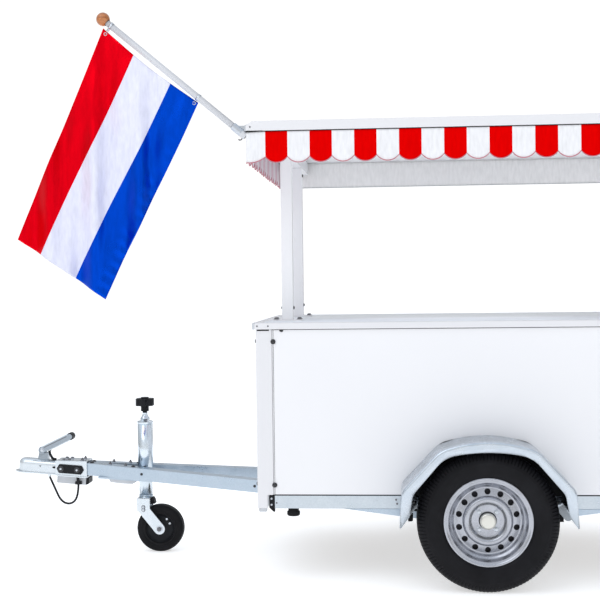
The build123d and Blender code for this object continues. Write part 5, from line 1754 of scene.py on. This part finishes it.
@dataclass
class CouplingFittings:
    """Small pieces on the drawbar: lever trim, catch, pin, cable strap, clamp brackets and bolts."""

    pivot: Point = (-1.494, -0.022, 0.485)
    tilt: float = math.radians(25.4)
    lever: float = 0.150
    rise: float = 0.002
    width: float = 0.044
    wrap: Pair = (0.0132, 0.0178)
    wrap_lap: float = 0.001
    end_degrees: int = -105
    loop_degrees: int = 75
    arc_degrees: int = 15
    arc_points: int = 15
    flange_start: float = 0.030
    groove_sides: Pair = (-0.0446, -0.001)
    groove_depth: float = 0.0016
    catch: float = 0.0062
    pin: float = 0.0046
    bracket: Pair = (0.068, 0.030)
    beam_start: Point = (-1.258, 0.0211, 0.4272)
    beam_slopes: Pair = (0.1786, -0.0675)

    NOSE_TOP = (0.07, 0.0, 1.0)
    BEAM_TOP = (0.067, 0.0, 0.998)
    BEAM_SIDE = (-0.176, -0.984, 0.0)
    PIVOT_BOLTS = ((-1.494, -0.022, 0.487),)
    PLATE_BOLTS = ((-1.392, -0.064, 0.4035), (-1.314, -0.064, 0.3973))
    NOSE_BOLTS = ((-1.386, -0.030, 0.4400), (-1.360, -0.030, 0.4393))
    NOSE_STUD = (-1.296, -0.030, 0.4377)
    BEAM_STUDS = (-1.158, -1.080)
    BEAM_DOMES = (-1.251, -1.042)
    SIDE_DOMES = ((-0.445, -0.1978, 0.3440), (-0.994, -0.1000, 0.3830))
    GROOVE = ((0.014, 0.0075), (0.136, 0.0075), (0.138, 0.0095), (0.136, 0.0115), (0.014, 0.0115))
    CATCH = (
        (-1.454, -0.012, 0.494), (-1.461, -0.012, 0.481), (-1.459, -0.012, 0.467), (-1.452, -0.012, 0.455),
        (-1.447, -0.012, 0.446), (-1.438, -0.012, 0.4425), (-1.428, -0.012, 0.4415),
    )
    PIN = ((-1.438, -0.0370, 0.4065), (-1.420, -0.0470, 0.4060), (-1.402, -0.0580, 0.4050))
    BRACKET = (
        (-1.160, 0.3575), (-1.151, 0.3400), (-1.100, 0.3340), (-1.046, 0.3310), (-1.030, 0.3390),
        (-1.028, 0.3490),
    )
    STRAP = ((-1.319, 0.3640), (-1.305, 0.3640), (-1.3055, 0.3260), (-1.3185, 0.3260))
    BOX_END = ((-1.278, 0.3555), (-1.263, 0.3545), (-1.263, 0.3300), (-1.270, 0.3235), (-1.280, 0.3235))
    MARK = ((-1.508, 0.4175), (-1.501, 0.4145), (-1.494, 0.4175), (-1.500, 0.4080))
    BLACK_PLATES = (
        # outline, face, thickness
        (STRAP, -0.0520, -0.0035), (BOX_END, -0.0345, 0.069), (MARK, -0.0384, 0.002),
    )

    def build(self) -> None:
        """Fits the pieces from the coupling back to the jockey wheel."""
        self.lever_trim()
        shape = Shape()
        shape.tube(self.CATCH, self.catch, sides=12)
        shape.tube(self.PIN, self.pin, sides=12)
        for outline, face, thick in self.BLACK_PLATES:
            shape.plate(outline, face, thick)
        shape.piece("coupling_black_fittings", Body.CHASSIS, BLACK_PLASTIC, edge=0.0008)
        shape = Shape()
        face, thick = self.bracket
        for side in Side:
            shape.plate(self.BRACKET, side.value * face, -side.value * thick)
        shape.piece("clamp_brackets", Body.CHASSIS, GREY_PLASTIC, edge=0.002)
        self.bolts()

    def lever_trim(self) -> None:
        """Wraps the lever's black end and its pivot's loop, and adds its flanges and side grooves."""
        along = Vector((math.cos(self.tilt), 0.0, math.sin(self.tilt)))
        upward = Vector((-math.sin(self.tilt), 0.0, math.cos(self.tilt)))
        turned = Matrix((along, upward, Vector(LEFTWARD))).transposed().to_4x4()
        frame = Matrix.Translation(self.pivot) @ turned
        far = frame @ Matrix.Translation((0.0, 0.0, -self.width - self.wrap_lap))
        span = self.width + 2 * self.wrap_lap
        inner, outer = self.wrap
        shape = Shape()
        for centre, first, slot in ((self.lever, self.end_degrees, 0), (0.0, self.loop_degrees, 1)):
            turns = [math.radians(first + self.arc_degrees * step) for step in range(self.arc_points)]
            arc = [(outer, turn) for turn in turns] + [(inner, turn) for turn in reversed(turns)]
            outline = [
                (centre + reach * math.cos(turn), self.rise + reach * math.sin(turn)) for reach, turn in arc]
            shape.prism(outline, far, span, slot)
        for start, level in ((0.0, inner), (self.flange_start, -outer)):
            shape.prism(self.flange(start, self.rise + level, outer - inner), far, span, slot=3)
        for height in self.groove_sides:
            side = frame @ Matrix.Translation((0.0, 0.0, height))
            shape.prism(self.GROOVE, side, self.groove_depth, slot=2)
        shape.piece(
            "lever_trim", Body.CHASSIS, BLACK_PLASTIC, LEVER_STEEL, DARK_STEEL, COUPLING_ZINC, edge=0.0008)

    def flange(self, start: float, level: float, thick: float) -> tuple[Pair, ...]:
        """Outline of one flange along the lever, from its start to the lever's end."""
        return (start, level), (self.lever, level), (self.lever, level + thick), (start, level + thick)

    def bolts(self) -> None:
        """Bolts the lever, the side plates, the nose and the beams."""
        studs = [*seats(self.NOSE_TOP, self.NOSE_STUD), *map(self.on_beam, self.BEAM_STUDS)]
        domes = [self.on_beam(x) for x in self.BEAM_DOMES]
        for name, head, spots, crown, washer, size in (
            ("lever_pivot_bolts", HEX, seats(LEFTWARD, *self.PIVOT_BOLTS), STEEL, STEEL, 1.0),
            ("side_plate_bolts", RINGED, seats(LEFTWARD, *self.PLATE_BOLTS), STEEL, BLACK_OXIDE, 1.0),
            ("nose_bolts", HEX, seats(self.NOSE_TOP, *self.NOSE_BOLTS), DARK_STEEL, STEEL, 1.2),
            ("clamp_bolts", STUD, studs, DARK_STEEL, STEEL, 1.0),
            ("beam_top_bolts", DOME, domes, BLACK_OXIDE, STEEL, 0.9),
            ("beam_side_bolts", DOME, seats(self.BEAM_SIDE, *self.SIDE_DOMES), BLACK_OXIDE, STEEL, 0.6),
        ):
            Fasteners(name, head, with_mirrored(spots, Axis.Y), crown, washer, size=size).build()

    def on_beam(self, x: float) -> Spot:
        """The spot on the middle of the left beam's top at a station along X.

        Args:
            x: Station along X.

        Returns:
            The place and the beam's upward normal.
        """
        reach = x - self.beam_start[0]
        aside, rise = self.beam_slopes
        place = (x, -self.beam_start[1] - aside * reach, self.beam_start[2] + rise * reach)
        return place, self.BEAM_TOP


@dataclass
class JockeyFittings:
    """The jockey wheel's tyre and hub, the rims of its tubes, the fork's bolts and its rubber stop."""

    axis: float = -0.994
    wheel: Pair = (-0.923, 0.112)
    fork_face: float = -0.044
    stop_half: float = 0.022

    TYRE = (
        (68, 20), (68.4, 26), (70.5, 29.6), (74.5, 30.8), (78.5, 30), (80.5, 28.8), (84, 30.2),
        (91, 32.4), (98, 32.8), (104, 31.2), (108.4, 27.2), (111.2, 21), (112, 13),
    )
    HUB = (
        (8.4, 34), (17.6, 34), (19.4, 32.6), (20, 30), (20.6, 24), (24, 19.4), (32, 16.6), (44, 15.2),
        (56, 15.6), (62, 18.4), (65.4, 22.6), (67.9, 25),
    )
    TUBE_RIM = (
        (35.6, 612), (37.2, 613), (38, 616), (38, 620.5), (37.2, 623.4), (35.4, 624.6), (33, 624.8),
        (33, 622),
    )
    SPINDLE_CONE = (
        (10.8, 636), (22.4, 636), (21.8, 640), (17, 645), (13.6, 651), (12, 659), (12.6, 664),
        (10.8, 665),
    )
    LEG_RIMS = (
        ((31.2, 259.4), (33.6, 259.6), (34.2, 261.4), (33.4, 263), (31.2, 263.2)),
        ((31.2, 266.2), (33.2, 266.4), (33.8, 268), (33, 269.8), (31.2, 270)),
    )
    FORK_BOLTS = ((-0.999, -0.044, 0.2165), (-0.999, -0.044, 0.2035))
    HUB_BOLTS = ((-0.892, -0.0154, 0.155), (-0.878, -0.0154, 0.134))
    STOP = ((-0.970, 0.2560), (-0.958, 0.2590), (-0.951, 0.2470), (-0.947, 0.2290), (-0.970, 0.2270))

    def build(self) -> None:
        """Builds the wheel, then the rims and bolts above it."""
        hub = facing((self.wheel[0], 0.0, self.wheel[1]), LEFTWARD)
        for name, section, finish, slot in (
            ("tyre", self.TYRE, SOFT_RUBBER, "rubber"), ("hub", self.HUB, BLACK_PLASTIC, "black_plastic"),
        ):
            shape = Shape()
            profile = [*section, *((radius, -out) for radius, out in reversed(section))]
            shape.lathe(metres(profile), hub, steps=72, closed=True)
            made = shape.piece(f"jockey_{name}_moulding", Body.JOCKEY_WHEEL, finish)
            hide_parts(f"jockey_{name}")
        self.rims()
        self.bolts()

    def rims(self) -> None:
        """Rolls the rim and the spindle's cone at the tube's top, and the two rims at the leg's foot."""
        stand = Matrix.Translation((self.axis, 0.0, 0.0))
        for name, body, rings in (
            ("jockey_tube_rim", Body.CHASSIS, (self.TUBE_RIM, self.SPINDLE_CONE)),
            ("jockey_leg_rims", Body.STEM, self.LEG_RIMS),
        ):
            shape = Shape()
            for ring in rings:
                shape.lathe(metres(ring), stand, closed=True)
            shape.piece(name, body, TUBE_ZINC)

    def bolts(self) -> None:
        """Bolts the fork and the wheel, and seats the rubber stop behind the fork's head."""
        axle = (self.wheel[0], self.fork_face, self.wheel[1])
        for name, head, places, crown, washer, body, size in (
            ("jockey_fork_bolts", HEX, self.FORK_BOLTS, STEEL, DARK_STEEL, Body.CASTER, 1.0),
            ("jockey_axle_nuts", HEX, (axle,), DARK_STEEL, STEEL, Body.CASTER, 1.7),
            ("jockey_hub_bolts", PAN, self.HUB_BOLTS, STEEL, STEEL, Body.JOCKEY_WHEEL, 1.3),
        ):
            spots = with_mirrored(seats(LEFTWARD, *places), Axis.Y)
            Fasteners(name, head, spots, crown, washer, body, size).build()
        shape = Shape()
        shape.plate(self.STOP, -self.stop_half, 2 * self.stop_half)
        shape.piece("jockey_stop", Body.CASTER, SOFT_RUBBER, edge=0.002)


NODE_COATS: dict[str, Coat] = {
    "side_rail_left": Coat(RAIL_ZINC, 0.003), "side_rail_right": Coat(RAIL_ZINC, 0.003),
    "cross_rails": Coat(RAIL_ZINC, 0.002), "rail_end_caps": Coat(BLACK_PLASTIC, 0.003),
    "rail_buffers": Coat(SOFT_RUBBER, 0.002), "floor_panel": Coat(PLYWOOD),
    "corner_posts": Coat(POWDER, 0.004), "post_plugs": Coat(GREY_PLASTIC, 0.002),
    "side_panel_left": Coat(PANEL, 0.002), "side_panel_right": Coat(PANEL, 0.002),
    "front_panel": Coat(PANEL, 0.002), "rear_door_left": Coat(PANEL, 0.002),
    "rear_door_right": Coat(PANEL, 0.002), "door_hinges": Coat(STEEL, 0.001),
    "door_lock": Coat(STEEL, 0.001), "counter_trim": Coat(POWDER, 0.003),
    "counter_top": Coat(COUNTER_SHEET), "tail_lamps": Coat(RED_LENS),
    "mast_feet": Coat(LIT_MAST_PAINT, 0.001), "masts": Coat(LIT_MAST_PAINT, 0.003),
    "roof_beams": Coat(POWDER, 0.002), "roof_frame": Coat(POWDER, 0.002),
    "roof_panel": Coat(PANEL, 0.002), "flag_pole": Coat(POLE_PAINT), "pole_holder": Coat(STEEL, 0.001),
    "flag_clips": Coat(STEEL), "axle_tube": Coat(ZINC), "axle_arms": Coat(ZINC, 0.002),
    "axle_brackets": Coat(ZINC, 0.002), "wing_left": Coat(WING_ZINC), "wing_right": Coat(WING_ZINC),
    "drawbar_beam_left": Coat(ZINC, 0.004), "drawbar_beam_right": Coat(ZINC, 0.004),
    "drawbar_nose": Coat(COUPLING_ZINC, 0.002), "coupling_head": Coat(COUPLING_ZINC, 0.002),
    "coupling_lever": Coat(LEVER_STEEL, 0.002), "coupling_side_plates": Coat(BLACK_PLASTIC, 0.002),
    "cable_box": Coat(GREY_PLASTIC, 0.002), "cable_clip": Coat(BLACK_PLASTIC, 0.001),
    "jockey_clamp": Coat(ZINC, 0.001), "jockey_tube": Coat(TUBE_ZINC),
    "jockey_knob": Coat(BLACK_PLASTIC, 0.004), "jockey_leg": Coat(TUBE_ZINC),
    "jockey_fork": Coat(COUPLING_ZINC, 0.001), "hub_left": Coat(STEEL), "hub_right": Coat(STEEL),
}


def main() -> None:
    """Loads the frame, dresses its nodes and builds the added pieces in order."""
    logging.basicConfig(level=logging.INFO, format="%(name)s: %(message)s")
    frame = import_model()
    for name, coat in NODE_COATS.items():
        dress(frame["nodes"], name, coat)
    Studio().build()
    for valance in (
        Valance("valance_left", Axis.X, outward=-1),
        Valance("valance_front", Axis.Y, outward=-1),
        Valance("valance_rear", Axis.Y, outward=1),
        Valance("valance_right", Axis.X, outward=1, striped=False),
    ):
        valance.build()
    Flag().build()
    for side in Side:
        RoadWheel(side).build()
    SafetyCable().build()
    BoxFittings().build()
    CanopyTrim().build()
    CouplingFittings().build()
    JockeyFittings().build()


if __name__ == "__main__":
    main()
